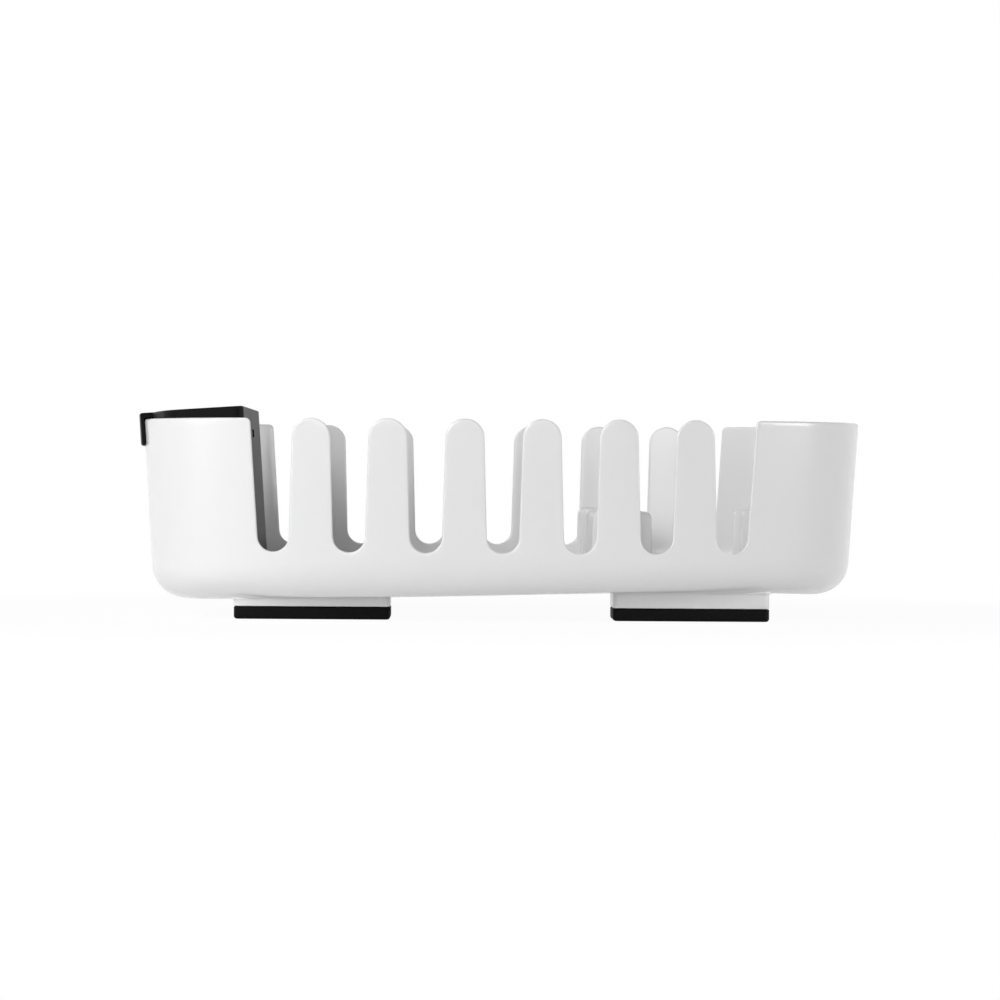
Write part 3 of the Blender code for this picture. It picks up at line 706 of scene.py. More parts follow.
    def skirt_z(self, x: Amount, skin: Skin) -> Amount:
        """Height where the comb's grids end: the base plus radius times (1 - cos skirt turn)."""
        return self.form.base(x, skin) + self.form.radius(skin) * (1.0 - math.cos(self.skirt_turn))

    def inner_line(self, side: SlotSide, shares: np.ndarray, skin: Skin) -> np.ndarray:
        """Where a cell's lines end: down the spine, then along the skirt to the slot's middle.

        Args:
            side: the side of the slot.
            shares: how far down the spine each line ends.
            skin: outer or inner face.

        Returns:
            Points (n, 2) in the X-Z plane, mirrored as the side is.
        """
        spine_foot = self.skirt_z(side.sign * side.spine, skin)
        down = mix(self.form.shoulder_z, spine_foot, shares)
        spine = np.stack([np.full_like(down, side.spine), down], axis=-1)
        x = np.linspace(side.spine, side.pocket_x, self.pocket_steps[1] + 1)[1:]
        foot = np.stack([x, self.skirt_z(side.sign * x, skin)], axis=-1)
        return np.concatenate([spine, foot])

    def cell(self, side: SlotSide, shares: np.ndarray) -> np.ndarray:
        """The wall between a spine and a slot's middle.

        Each line runs up the outer face to the outline, over the rounded cut edge and down the
        inner face. Its depth along Y comes from the plan curve at the inset of its own height.

        Args:
            side: the side of the slot.
            shares: how far down the spine each line ends.

        Returns:
            Grid (lines, points, 3) on the +Y wall.
        """
        form = self.form
        points, inwards = self.path(side)
        rounded = points + form.edge * inwards
        across = np.linspace(0.0, 1.0, self.face_steps + 1)[None, :, None]
        faces = {}
        for skin in Skin:
            start = self.inner_line(side, shares, skin)
            flat = mix(start[:, None, :], rounded[:, None, :], across)
            x, z = side.sign * flat[..., 0], flat[..., 1]
            faces[skin] = form.world(x, form.plan_y(x, form.inset(x, z, skin)), z)
        share, height = form.over_edge(self.band_steps)
        band = rounded[:, None, :] - height[None, :, None] * inwards[:, None, :]
        x, z = side.sign * band[..., 0], band[..., 1]
        inset = mix(form.inset(x, z, Skin.OUTER), form.inset(x, z, Skin.INNER), share)
        edge = form.world(x, form.plan_y(x, inset), z)
        return np.concatenate([faces[Skin.OUTER], edge, faces[Skin.INNER][:, ::-1]], axis=1)

    def end_face(self, end: End, shares: np.ndarray, skin: Skin) -> np.ndarray:
        """One face of an end wall, from the middle of the end to the spine on the +Y side.

        A column keeps its share of the plan's half width. Its place along X and its inset depend on
        each other a little, so they are worked out by turns.

        Args:
            end: which end.
            shares: how far down the wall each row lies.
            skin: outer or inner face.

        Returns:
            Grid (rows, columns, 3), from the rim down.
        """
        form = self.form
        spine = end.value * self.block_spine
        row_z = mix(form.shoulder_z, self.skirt_z(spine, skin), shares)
        row_inset = form.inset(np.full_like(row_z, spine), row_z, skin)
        reach = form.plan_y(spine, row_inset) / (form.half_width - row_inset)
        v = reach[:, None] * np.linspace(0.0, 1.0, self.end_steps + 1)[None, :]
        length = (1.0 - v ** form.power) ** (1.0 / form.power)
        inset = np.broadcast_to(row_inset[:, None], v.shape)
        for _ in range(self.end_rounds):
            x = end.value * length * (form.half_length - inset)
            z = mix(form.shoulder_z, self.skirt_z(x, skin), shares[:, None])
            inset = form.inset(x, z, skin)
        return form.world(x, v * (form.half_width - inset), z)

    def end_wall(self, end: End, shares: np.ndarray) -> np.ndarray:
        """An end wall's half: outer face, rounded rim and inner face.

        Args:
            end: which end.
            shares: how far down the wall each row lies.

        Returns:
            Grid (rows, columns, 3).
        """
        form = self.form
        share, height = form.over_edge(self.band_steps)
        spine = np.float64(end.value * self.block_spine)
        inset = mix(form.inset(spine, form.shoulder_z, Skin.OUTER),
                    form.inset(spine, form.shoulder_z, Skin.INNER), share)[:, None]
        spine_y = form.plan_y(spine, inset)
        across = np.linspace(0.0, 1.0, self.end_steps + 1)[None, :]
        v = spine_y / (form.half_width - inset) * across
        x = (form.half_length - inset) * (1.0 - v ** form.power) ** (1.0 / form.power)
        rim = form.world(end.value * x, v * (form.half_width - inset),
                         form.shoulder_z + height[:, None])
        outer = self.end_face(end, shares, Skin.OUTER)
        inner = self.end_face(end, shares, Skin.INNER)
        return np.concatenate([outer[::-1], rim, inner])

    def skirt_ring(self, sides: list[SlotSide], ends: dict[End, np.ndarray],
                   skin: Skin) -> np.ndarray:
        """The line where the comb's grids end, on the +Y side, from the high end to the low one.

        Args:
            sides: both sides of every slot.
            ends: the end walls' grids.
            skin: outer or inner face.

        Returns:
            Plan shares (n, 2): x over half length and y over half width at the skirt's inset.
        """
        form = self.form
        row = 0 if skin is Skin.OUTER else -1
        inset = form.middle_inset - form.radius(skin) * math.sin(self.skirt_turn)
        runs = []
        for side in sides:
            run = side.sign * np.linspace(side.spine, side.pocket_x, self.pocket_steps[1] + 1)
            runs.append(run if side.sign > 0 else run[::-1])
        comb_x = np.concatenate([runs[0]] + [run[1:] for run in runs[1:]])[::-1]
        comb = np.stack([comb_x, form.plan_y(comb_x, inset)], axis=-1)
        high = ends[End.HIGH][row][:, :2] - [TRAY_MIDDLE_X, 0.0]
        low = ends[End.LOW][row][::-1, :2] - [TRAY_MIDDLE_X, 0.0]
        line = np.concatenate([high[:-1], comb, low[1:]])
        return line / [form.half_length - inset, form.half_width - inset]

    def bottom(self, ring: np.ndarray, skin: Skin) -> tuple[np.ndarray, np.ndarray]:
        """The bottom rounding and the flat part inside it.

        In the rounding the inset is the middle inset less radius sin(turn), and the lift is radius
        (1 - cos(turn)), with the turn from the skirt's down to 0. The flat part is lines along Y at
        the base height of their x.

        Args:
            ring: plan shares of each column.
            skin: outer or inner face.

        Returns:
            The rounding's grid on the +Y side, and the whole flat part's grid.
        """
        form = self.form
        turn = np.linspace(self.skirt_turn, 0.0, self.rounding_steps + 1)[:, None]
        inset = form.middle_inset - form.radius(skin) * np.sin(turn)
        x = ring[:, 0] * (form.half_length - inset)
        y = ring[:, 1] * (form.half_width - inset)
        z = form.base(x, skin) + form.radius(skin) * (1.0 - np.cos(turn))
        across = np.linspace(1.0, -1.0, self.floor_steps + 1)[None, :]
        flat = form.world(x[-1][:, None], y[-1][:, None] * across, z[-1][:, None])
        return form.world(x, y, z), flat

    def shell_mesh(self) -> bpy.types.Mesh:
        """Stitches comb, end walls, roundings, underside and floor into one closed wall.

        Returns:
            The closed shell, before the drain channel is cut.
        """
        sides = self.slot_sides()
        prong_shares = self.shares(sides[self.slot_count])
        block_shares = self.shares(sides[0])
        ends = {end: self.end_wall(end, block_shares) for end in End}
        patches = Patchwork()
        for side in sides:
            shares = block_shares if side.top_x != side.spine else prong_shares
            patches.both_sides(self.cell(side, shares))
        for grid in ends.values():
            patches.both_sides(grid)
        for skin in Skin:
            rounding, flat = self.bottom(self.skirt_ring(sides, ends, skin), skin)
            patches.both_sides(rounding)
            patches.grid(flat)
        return patches.mesh("tray_shell")

    @property
    def lip_reach(self) -> float:
        """Distance of the lip's outer edge from the middle."""
        return self.form.half_length - self.lip_end_inset

    @property
    def lip_bottom(self) -> float:
        """Height of the lip's underside, set by the underside of the tray at the lip's root."""
        root = self.lip_reach - self.lip_length
        return self.form.base(-root, Skin.OUTER) + self.lip_raise

    def channel_mesh(self) -> bpy.types.Mesh:
        """The drain channel as a closed bar: a round-cornered section carried along a falling line.

        Returns:
            The closed bar.
        """
        start_x = self.channel_set_back - self.lip_reach
        middle_z = self.lip_bottom + self.lip_thickness + self.outlet_height / 2.0
        section = rounded_rings([self.outlet_height / 2.0], [self.outlet_half_width],
                                [self.outlet_corner], self.outlet_corner_steps)[0]
        along = np.array([-self.channel_reach[0], self.channel_reach[1]])[:, None]
        cosine, sine = math.cos(self.outlet_fall), math.sin(self.outlet_fall)
        x = start_x + along * cosine - section[:, 0] * sine
        z = middle_z + along * sine + section[:, 0] * cosine
        patches = Patchwork()
        patches.stack(self.form.world(x, np.broadcast_to(section[:, 1], x.shape), z))
        return patches.mesh("channel")

    def lip_mesh(self) -> bpy.types.Mesh:
        """The short lip under the outlet.

        Round-cornered rings are drawn in by edge (1 - sin t) at the lower edge and by
        edge (1 - cos t) at the upper one.

        Returns:
            The closed lip, before the drain channel is cut.
        """
        turn = np.linspace(0.0, QUARTER, self.lip_edge_steps + 1)
        inset = self.lip_edge * np.concatenate([1.0 - np.sin(turn), 1.0 - np.cos(turn)])
        lift = self.lip_edge * np.concatenate([1.0 - np.cos(turn), np.sin(turn)])
        lift[turn.size:] += 2.0 * self.lip_thickness - self.lip_edge
        rings = rounded_rings(self.lip_length / 2.0 - inset,
                              self.outlet_half_width + self.lip_margin - inset,
                              self.lip_corner - inset, self.outlet_corner_steps)
        x = rings[..., 0] - (self.lip_reach - self.lip_length / 2.0)
        patches = Patchwork()
        patches.stack(self.form.world(x, rings[..., 1], (self.lip_bottom + lift)[:, None]))
        return patches.mesh("drain_lip")

    def build(self, workshop: Workshop) -> None:
        """Makes the shell and the lip, both with the drain channel cut through them.

        Args:
            workshop: where pieces are cut and dressed.
        """
        shell = workshop.cut(self.shell_mesh(), self.channel_mesh())
        workshop.dress(shell, WHITE_PLASTIC, Body.RACK, replaces=("tray",))
        lip = workshop.cut(self.lip_mesh(), self.channel_mesh())
        workshop.dress(lip, WHITE_PLASTIC, Body.RACK)


@dataclass
class Uprights:
    """The rows of thin plates that stand on the tray's floor."""

    form: TrayForm = field(default_factory=TrayForm)
    width: float = 0.0298
    thickness: float = 0.0036
    top_z: float = 0.0563
    taper: float = 0.016
    corner: float = 0.0035
    edge: float = 0.0009
    flare: float = 0.0011
    root: float = 0.0006
    end_inset: float = 0.0450
    pitch_x: float = 0.0841
    side_inset: float = 0.0290
    inner_rows: int = 2
    outer_rows: int = 1
    fullest_corner: float = 0.98                # of half the thickness
    foot_steps: int = 5
    shaft_steps: int = 8
    round_steps: int = 10
    corner_steps: int = 5

    def rings(self, column_x: float, row_y: float) -> np.ndarray:
        """One upright as a stack of round-cornered sections.

        At its foot the section grows by flare (1 - sin t) at the height flare (1 - cos t), a hollow
        quarter round that follows the floor. At its top the length shrinks along a quarter circle,
        and the last of the thickness along a smaller one.

        Args:
            column_x: the upright's middle along the tray.
            row_y: its middle across the tray.

        Returns:
            Array (sections, points, 3).
        """
        form = self.form
        floor = form.base(column_x, Skin.INNER)
        turn = np.linspace(0.0, QUARTER, self.foot_steps + 1)
        foot_z = floor + self.flare * (1.0 - np.cos(turn))
        grow = self.flare * (1.0 - np.sin(turn))
        shaft_z = np.linspace(foot_z[-1], self.top_z - self.corner, self.shaft_steps + 1)[1:]
        bend = np.linspace(0.0, QUARTER, self.round_steps + 1)[1:]
        crown_z = self.top_z - self.corner * (1.0 - np.sin(bend))
        z = np.concatenate([[floor - self.root], foot_z, shaft_z, crown_z])
        grow = np.concatenate([[self.flare], grow, np.zeros(self.shaft_steps + self.round_steps)])
        drawn = np.concatenate([np.zeros(z.size - bend.size), self.corner * (1.0 - np.cos(bend))])
        depth = np.clip(self.edge - (self.top_z - z), 0.0, self.edge)
        thin = self.edge - np.sqrt(np.clip(self.edge ** 2 - depth ** 2, 0.0, None))
        half_x = self.width / 2.0 + self.taper * (self.top_z - z) - drawn + grow
        half_y = self.thickness / 2.0 - thin + grow
        corner = np.minimum(self.edge + grow, half_y * self.fullest_corner)
        section = rounded_rings(half_x, half_y, corner, self.corner_steps)
        follow = np.where(z < foot_z[-1], form.floor_slope, 0.0)[:, None] * section[..., 0]
        return form.world(column_x + section[..., 0], row_y + section[..., 1], z[:, None] + follow)

    def build(self, workshop: Workshop) -> None:
        """Makes all the uprights as one piece.

        Args:
            workshop: where the piece is dressed.
        """
        outer_x = self.form.half_length - self.end_inset
        pitch_y = (self.form.half_width - self.side_inset) / self.inner_rows
        columns = ((outer_x - self.pitch_x, self.inner_rows), (outer_x, self.outer_rows))
        patches = Patchwork()
        for column_x, rows in columns:
            for row in range(-rows, rows + 1):
                patches.stack(self.rings(column_x, row * pitch_y))
        workshop.dress(patches.mesh("tray_uprights"), THIN_WHITE_PLASTIC, Body.RACK)


class Foot(Enum):
    """The four feet: which side of the middle they stand on, along X and across Y."""

    FRONT_LEFT = (-1, -1)
    FRONT_RIGHT = (1, -1)
    REAR_LEFT = (-1, 1)
    REAR_RIGHT = (1, 1)


@dataclass
class Feet:
    """The hollow pedestals moulded under the tray and the rubber pads plugged into them."""

    form: TrayForm = field(default_factory=TrayForm)
    end_inset: float = 0.0526
    side_inset: float = 0.0490
    front_length: float = 0.0800
    rear_length: float = 0.0730
    width: float = 0.0420
    corner: float = 0.0030
    wall: float = 0.0024
    flare: float = 0.0012
    pedestal_edge: float = 0.0005
    pad_height: float = 0.0063
    plug_height: float = 0.0026
    plug_rim: float = 0.0040
    pad_edge: float = 0.0016
    pad_top_edge: float = 0.0004
    least_corner: float = 0.0008
    corner_steps: int = 8
    edge_steps: int = 5
    pad_edge_steps: int = 6

    def place(self, foot: Foot) -> tuple[float, float, float]:
        """Where a foot stands and how long it is.

        Args:
            foot: which foot.

        Returns:
            Middle X, middle Y and length.
        """
        side_x, side_y = foot.value
        length = self.rear_length if side_y > 0 else self.front_length
        x = side_x * (self.form.half_length - self.end_inset - length / 2.0)
        y = side_y * (self.form.half_width - self.side_inset - self.width / 2.0)
        return x, y, length

    def body(self, foot: Foot, inset: np.ndarray, z: np.ndarray, follow: np.ndarray) -> np.ndarray:
        """A foot's outline drawn in by each inset, at each height.

        Args:
            foot: which foot.
            inset: how far each ring is drawn in.
            z: the rings' heights at the foot's middle.
            follow: 1 where a ring follows the tray's underside, 0 where it is level.

        Returns:
            Rings (rows, points, 3).
        """
        x, y, length = self.place(foot)
        corner = np.maximum(self.corner - inset, self.least_corner)
        rings = rounded_rings(length / 2.0 - inset, self.width / 2.0 - inset, corner,
                              self.corner_steps)
        slope = self.form.base(x + rings[..., 0], Skin.OUTER) - self.form.base(x, Skin.OUTER)
        return self.form.world(x + rings[..., 0], y + rings[..., 1],
                               z[:, None] + follow[:, None] * slope)

    def pedestal(self, foot: Foot) -> np.ndarray:
        """A pedestal: sunk top, hollow flare, wall, rounded lower edge, hollow inside.

        Args:
            foot: which foot.

        Returns:
            Rings (rows, points, 3), in that order.
        """
        x, _, length = self.place(foot)
        under = float(self.form.base(x, Skin.OUTER))
        bottom = self.pad_height + SEAT_GAP
        ends = self.form.base(np.array([x - length / 2.0, x + length / 2.0]), Skin.OUTER)
        ceiling = float(ends.min()) - SEAT_GAP
        turn = np.linspace(0.0, QUARTER, self.edge_steps + 1)
        edge = self.pedestal_edge
        inset = np.concatenate([[-self.flare], -self.flare * (1.0 - np.sin(turn)),
                                edge * (1.0 - np.cos(turn)),
                                [self.wall - edge, self.wall, self.wall]])
        z = np.concatenate([[under + self.form.wall / 2.0],
                            under - self.flare * (1.0 - np.cos(turn)),
                            bottom + edge * (1.0 - np.sin(turn)),
                            [bottom, bottom + edge, ceiling]])
        top_rings = 1 + turn.size
        follow = np.where(np.arange(z.size) < top_rings, 1.0, 0.0)
        return self.body(foot, inset, z, follow)

    def pad(self, foot: Foot) -> np.ndarray:
        """A pad: rounded lower edge, side, eased upper edge, plug rim and its recess.

        Args:
            foot: which foot.

        Returns:
            Rings (rows, points, 3), in that order.
        """
        turn = np.linspace(0.0, QUARTER, self.pad_edge_steps + 1)
        play = self.wall + SEAT_GAP
        rim = play + self.plug_rim
        high = self.pad_height + self.plug_height
        top = self.pad_top_edge
        inset = np.concatenate([self.pad_edge * (1.0 - np.sin(turn)), top * (1.0 - np.cos(turn)),
                                [play, play, rim, rim]])
        z = np.concatenate([self.pad_edge * (1.0 - np.cos(turn)),
                            self.pad_height - top + top * np.sin(turn),
                            [self.pad_height, high, high, self.pad_height]])
        return self.body(foot, inset, z, np.zeros_like(z))

    def build(self, workshop: Workshop) -> None:
        """Makes the pedestals as one piece and each pad as its own.

        Args:
            workshop: where the pieces are dressed.
        """
        pedestals = Patchwork()
        for foot in Foot:
            pedestals.stack(self.pedestal(foot))
            pad = Patchwork()
            pad.stack(self.pad(foot))
            name = foot.name.lower()
            workshop.dress(pad.mesh("rubber_pad_" + name), PAD_RUBBER, Body.RACK,
                           replaces=("foot_pad_" + name,))
        workshop.dress(pedestals.mesh("tray_pedestals"), WHITE_PLASTIC, Body.RACK)


@dataclass
class CutleryDrainer:
    """The dark pot that hangs on the low end, in its leaning frame: u inwards, v along Y, w up."""

    form: TrayForm = field(default_factory=TrayForm)
    depth: float = 0.0561
    half_v: float = 0.0910
    top_w: float = 0.0032
    lift: float = 0.00662
    wall: float = 0.0020
    floor: float = 0.0022
    clear: float = 0.0013
    wall_corner: float = 0.0160
    inner_corner: float = 0.0045
    wall_round: float = 0.0100
    inner_round: float = 0.0032
    hook_half_v: float = 0.0540
    hook_leg: float = 0.0021
    hook_leg_bottom: float = -0.0138
    hook_edge: float = 0.0010
    hook_crook: float = 0.0004
    catch_half_v: float = 0.0140
    catch_height: float = 0.0040
    catch_middle: float = -0.0102
    hole_rows: int = 9
    hole_columns: int = 2
    hole_pitch_v: float = 0.0160
    hole_pitch_u: float = 0.0190
    hole_length: float = 0.0140
    hole_width: float = 0.0036
    hole_shift: float = 0.003
    hole_fullness: float = 0.49                 # corner radius over the hole's width
    divider_thickness: float = 0.0018
    divider_top: float = -0.0022
    flange_half_v: float = 0.0165
    flange_bottom: float = -0.0190
    flange_thickness: float = 0.0014
    flange_rise: float = 0.00002                # over the plate's top, so that no faces coincide
    catch_shy: float = 0.0008
    rib_reach: float = 0.0032
    rib_thickness: float = 0.0014
    rib_drop: float = 0.004
    rib_foot: float = 0.0175
    rib_root: float = 0.001
    hook_softening: float = 0.0004
    thin_softening: float = 0.0003
    tilt_step: float = 0.0005
    plan_steps: tuple[int, int, int, int, int] = (56, 16, 14, 9, 24)
    wall_rows: int = 16
    round_steps: int = 10
    rim_steps: int = 10
    hole_corner_steps: int = 6
    hook_steps: int = 64
    hook_edge_steps: int = 5
    divider_steps: tuple[int, int] = (12, 6)

    @property
    def bottom_w(self) -> float:
        """Height of the pot's underside along the wall."""
        low_floor = float(self.form.base(-self.form.half_length, Skin.INNER))
        return (low_floor + self.lift - self.form.rim_z) / math.cos(self.form.draft)

    @property
    def inner_wall_u(self) -> float:
        """Where the pot's wall-side wall ends inwards, at the middle of the end."""
        return float(self.wall_u(np.float64(0.0), self.form.wall + self.clear)) + self.wall

    def world(self, u: Amount, v: Amount, w: Amount) -> np.ndarray:
        """Points in the row frame: the leaning frame turned by the draft about the low end's rim.

        Args:
            u: distances inwards from the rim's end.
            v: places along Y.
            w: heights along the wall, from the rim.

        Returns:
            Points (..., 3).
        """
        cosine, sine = math.cos(self.form.draft), math.sin(self.form.draft)
        u, v, w = np.broadcast_arrays(u, v, w)
        return self.form.world(u * cosine - w * sine - self.form.half_length, v,
                               u * sine + w * cosine + self.form.rim_z)

    def wall_u(self, v: Amount, inset: float) -> Amount:
        """How far the end's plan curve lies inside the rim's end at v."""
        return self.form.half_length - self.form.plan_x(v, inset)

    def wall_tilt(self, v: Amount, inset: float) -> Amount:
        """Angle between that curve and the Y axis: the arctangent of its slope."""
        rise = self.wall_u(v + self.tilt_step, inset) - self.wall_u(v - self.tilt_step, inset)
        return np.arctan(rise / (2.0 * self.tilt_step))

    def plan(self) -> np.ndarray:
        """The pot's outline and the way into it.

        The wall side runs along the inside of the tray's end wall. A corner circle touches that
        curve and the straight flank, and a smaller one joins the flank to the straight inner face.

        Returns:
            Rows of (u, v, u inwards, v inwards, bottom rounding), mirrored about v = 0.
        """
        wall_n, corner_n, flank_n, small_n, face_n = self.plan_steps
        inset = self.form.wall + self.clear
        lean = float(self.wall_tilt(np.float64(self.half_v - self.wall_corner), inset))
        radius = self.wall_corner / (1.0 + math.sin(lean))
        middle_v = self.half_v - radius
        touch_v = middle_v + radius * math.sin(lean)
        middle_u = float(self.wall_u(np.float64(touch_v), inset)) + radius * math.cos(lean)
        v = touch_v * (np.arange(wall_n) + 0.5) / wall_n
        tilt = self.wall_tilt(v, inset)
        wall_side = [self.wall_u(v, inset), v, np.cos(tilt), -np.sin(tilt),
                     np.full_like(v, self.wall_round)]
        turn = np.linspace(math.pi - lean, QUARTER, corner_n + 1)
        corner = [middle_u + radius * np.cos(turn), middle_v + radius * np.sin(turn),
                  -np.cos(turn), -np.sin(turn), np.full_like(turn, self.wall_round)]
        share = np.linspace(0.0, 1.0, flank_n + 1)[1:-1]
        inner_u = self.depth - self.inner_corner
        flank = [mix(middle_u, inner_u, share), np.full_like(share, self.half_v),
                 np.zeros_like(share), -np.ones_like(share),
                 mix(self.wall_round, self.inner_round, share)]
        turn = np.linspace(QUARTER, 0.0, small_n + 1)
        small = [inner_u + self.inner_corner * np.cos(turn),
                 self.half_v - self.inner_corner * (1.0 - np.sin(turn)),
                 -np.cos(turn), -np.sin(turn), np.full_like(turn, self.inner_round)]
        v = (self.half_v - self.inner_corner) * (1.0 - np.arange(1, face_n) / (face_n - 0.5))
        face = [np.full_like(v, self.depth), v, -np.ones_like(v), np.zeros_like(v),
                np.full_like(v, self.inner_round)]
        half = np.concatenate([np.stack(part, axis=-1)
                               for part in (wall_side, corner, flank, small, face)])
        mirrored = half[::-1] * np.array([1.0, -1.0, 1.0, -1.0, 1.0])
        return np.concatenate([half, mirrored])

    def pot_mesh(self) -> bpy.types.Mesh:
        """The pot: underside, rounding, wall, half-round rim, inner wall, inner rounding, floor.

        Each ring is the outline drawn in along its own inward direction. In the roundings the inset
        is size (1 - sin turn) and the lift size (1 - cos turn), with the size given for each point.

        Returns:
            The closed pot, before its holes are cut.
        """
        u, v, in_u, in_v, size = self.plan().T
        turn = np.linspace(0.0, QUARTER, self.round_steps + 1)[:, None]
        rim = self.wall / 2.0
        shoulder = self.top_w - rim
        rows = np.linspace(0.0, 1.0, self.wall_rows + 1)[:, None]
        up, down = rows[1:], rows[:-1]
        inner = size - self.wall
        over = np.linspace(0.0, math.pi, self.rim_steps + 1)[1:-1, None]
        level = np.ones_like(size)
        insets = [size * (1.0 - np.sin(turn)), np.zeros_like(up) * level,
                  rim * (1.0 - np.cos(over)) * level, self.wall * np.ones_like(down) * level,
                  self.wall + inner * (1.0 - np.sin(turn[::-1]))]
        low = self.bottom_w + size
        low_inner = self.bottom_w + self.floor + inner
        heights = [self.bottom_w + size * (1.0 - np.cos(turn)), mix(low, shoulder, up),
                   (shoulder + rim * np.sin(over)) * level, mix(shoulder, low_inner, down),
                   self.bottom_w + self.floor + inner * (1.0 - np.cos(turn[::-1]))]
        inset = np.concatenate(insets)
        height = np.concatenate(heights)
        patches = Patchwork()
        patches.stack(self.world(u + in_u * inset, v + in_v * inset, height))
        return patches.mesh("drainer_pot")

    def bar(self, patches: Patchwork, low: tuple[float, float, float],
            high: tuple[float, float, float]) -> None:
        """Adds a straight bar with its edges along the leaning frame.

        Args:
            patches: the mesh it goes into.
            low: its least u, v and w.
            high: its greatest u, v and w.
        """
        ring = np.array([[low[0], low[1]], [high[0], low[1]],
                         [high[0], high[1]], [low[0], high[1]]])
        w = np.array([low[2], high[2]])[:, None]
        rings = self.world(ring[:, 0], ring[:, 1], w)
        patches.grid(rings, around=True)
        patches.polygon(rings[0])
        patches.polygon(rings[1])

    def openings_mesh(self) -> bpy.types.Mesh:
        """Everything cut out of the pot: the drain holes in rows and the window for the catch.

        Returns:
            The closed bodies to take away.
        """
        patches = Patchwork()
        middle_u = (self.form.wall + self.clear + self.depth) / 2.0 + self.hole_shift
        ring = rounded_rings([self.hole_length / 2.0], [self.hole_width / 2.0],
                             [self.hole_width * self.hole_fullness],
                             self.hole_corner_steps)[0]
        w = np.array([self.bottom_w - self.floor, self.bottom_w + 2.0 * self.floor])[:, None]
        for column in range(self.hole_columns):
            for row in range(self.hole_rows):
                u = middle_u + (column - (self.hole_columns - 1) / 2.0) * self.hole_pitch_u
                v = (row - (self.hole_rows - 1) / 2.0) * self.hole_pitch_v
                patches.stack(self.world(u + ring[:, 0], v + ring[:, 1], w))
        half = self.catch_height / 2.0
        self.bar(patches,
                 (self.depth - 2.0 * self.wall, -self.catch_half_v, self.catch_middle - half),
                 (self.depth + self.wall, self.catch_half_v, self.catch_middle + half))
        return patches.mesh("openings")

    def hook_mesh(self) -> bpy.types.Mesh:
        """The hook: an angle section with rounded edges, carried along the tray's end rim.

        Returns:
            The closed hook, whose root ends inside the pot's wall.
        """
        outer = -(SEAT_GAP + self.hook_leg)
        root = self.form.wall + self.clear + self.wall / 2.0
        edge, small = self.hook_edge, self.hook_crook
        quarter = np.linspace(0.0, QUARTER, self.hook_edge_steps + 1)
        over = circle(outer + edge, self.top_w - edge, edge, QUARTER + quarter)
        tip = circle((outer - SEAT_GAP) / 2.0, self.hook_leg_bottom + self.hook_leg / 2.0,
                     self.hook_leg / 2.0, math.pi + 2.0 * quarter)
        crook = circle(small - SEAT_GAP, SEAT_GAP - small, small, math.pi - quarter)
        section = np.concatenate([[[root, self.top_w]], over, tip, crook, [[root, SEAT_GAP]]])
        v = np.linspace(-self.hook_half_v, self.hook_half_v, self.hook_steps + 1)[:, None]
        tilt = self.wall_tilt(v, 0.0)
        rings = self.world(self.wall_u(v, 0.0) + section[:, 0] * np.cos(tilt),
                           v - section[:, 0] * np.sin(tilt), section[:, 1])
        patches = Patchwork()
        patches.grid(rings, around=True)
        patches.polygon(rings[0])
        patches.polygon(rings[-1])
        return patches.mesh("drainer_hook")

    def ribs_mesh(self) -> bpy.types.Mesh:
        """The two ribs that guide the divider down the wall-side wall.

        Returns:
            Two closed bars.
        """
        start = self.divider_thickness / 2.0 + SEAT_GAP
        patches = Patchwork()
        for side in (-1, 1):
            near, far = sorted((side * start, side * (start + self.rib_thickness)))
            self.bar(patches,
                     (self.inner_wall_u - self.rib_root, near, self.bottom_w + self.rib_foot),
                     (self.inner_wall_u + self.rib_reach, far, self.divider_top - self.rib_drop))
        return patches.mesh("drainer_ribs")

    def divider_mesh(self) -> bpy.types.Mesh:
        """The divider: a plate cut to the pot's inside, its flange, and the catch in the window.

        Returns:
            Three closed bodies that reach into each other.
        """
        curve_steps, small_steps = self.divider_steps
        low_u = self.inner_wall_u + SEAT_GAP
        high_u = self.depth - self.wall - SEAT_GAP
        bottom = self.bottom_w + self.floor + SEAT_GAP
        cut = self.wall_round - self.wall
        turn = np.linspace(0.0, QUARTER, curve_steps + 1)
        curve = np.stack([low_u + cut * (1.0 - np.cos(turn)),
                          bottom + cut * (1.0 - np.sin(turn))], axis=-1)
        small = circle(high_u - self.inner_round, bottom + self.inner_round, self.inner_round,
                       np.linspace(-QUARTER, 0.0, small_steps + 1))
        outline = np.concatenate([[[low_u, self.divider_top]], curve, small,
                                  [[high_u, self.divider_top]]])
        v = np.array([-0.5, 0.5])[:, None] * self.divider_thickness
        plate = self.world(outline[:, 0], v, outline[:, 1])
        patches = Patchwork()
        patches.grid(plate, around=True)
        patches.polygon(plate[0])
        patches.polygon(plate[1])
        self.bar(patches,
                 (high_u - self.flange_thickness, -self.flange_half_v, self.flange_bottom),
                 (high_u, self.flange_half_v, self.divider_top + self.flange_rise))
        half_w = self.catch_height / 2.0 - SEAT_GAP
        half_v = self.catch_half_v - SEAT_GAP
        self.bar(patches,
                 (high_u - self.flange_thickness / 2.0, -half_v, self.catch_middle - half_w),
                 (self.depth - self.catch_shy, half_v, self.catch_middle + half_w))
        return patches.mesh("divider_plate")

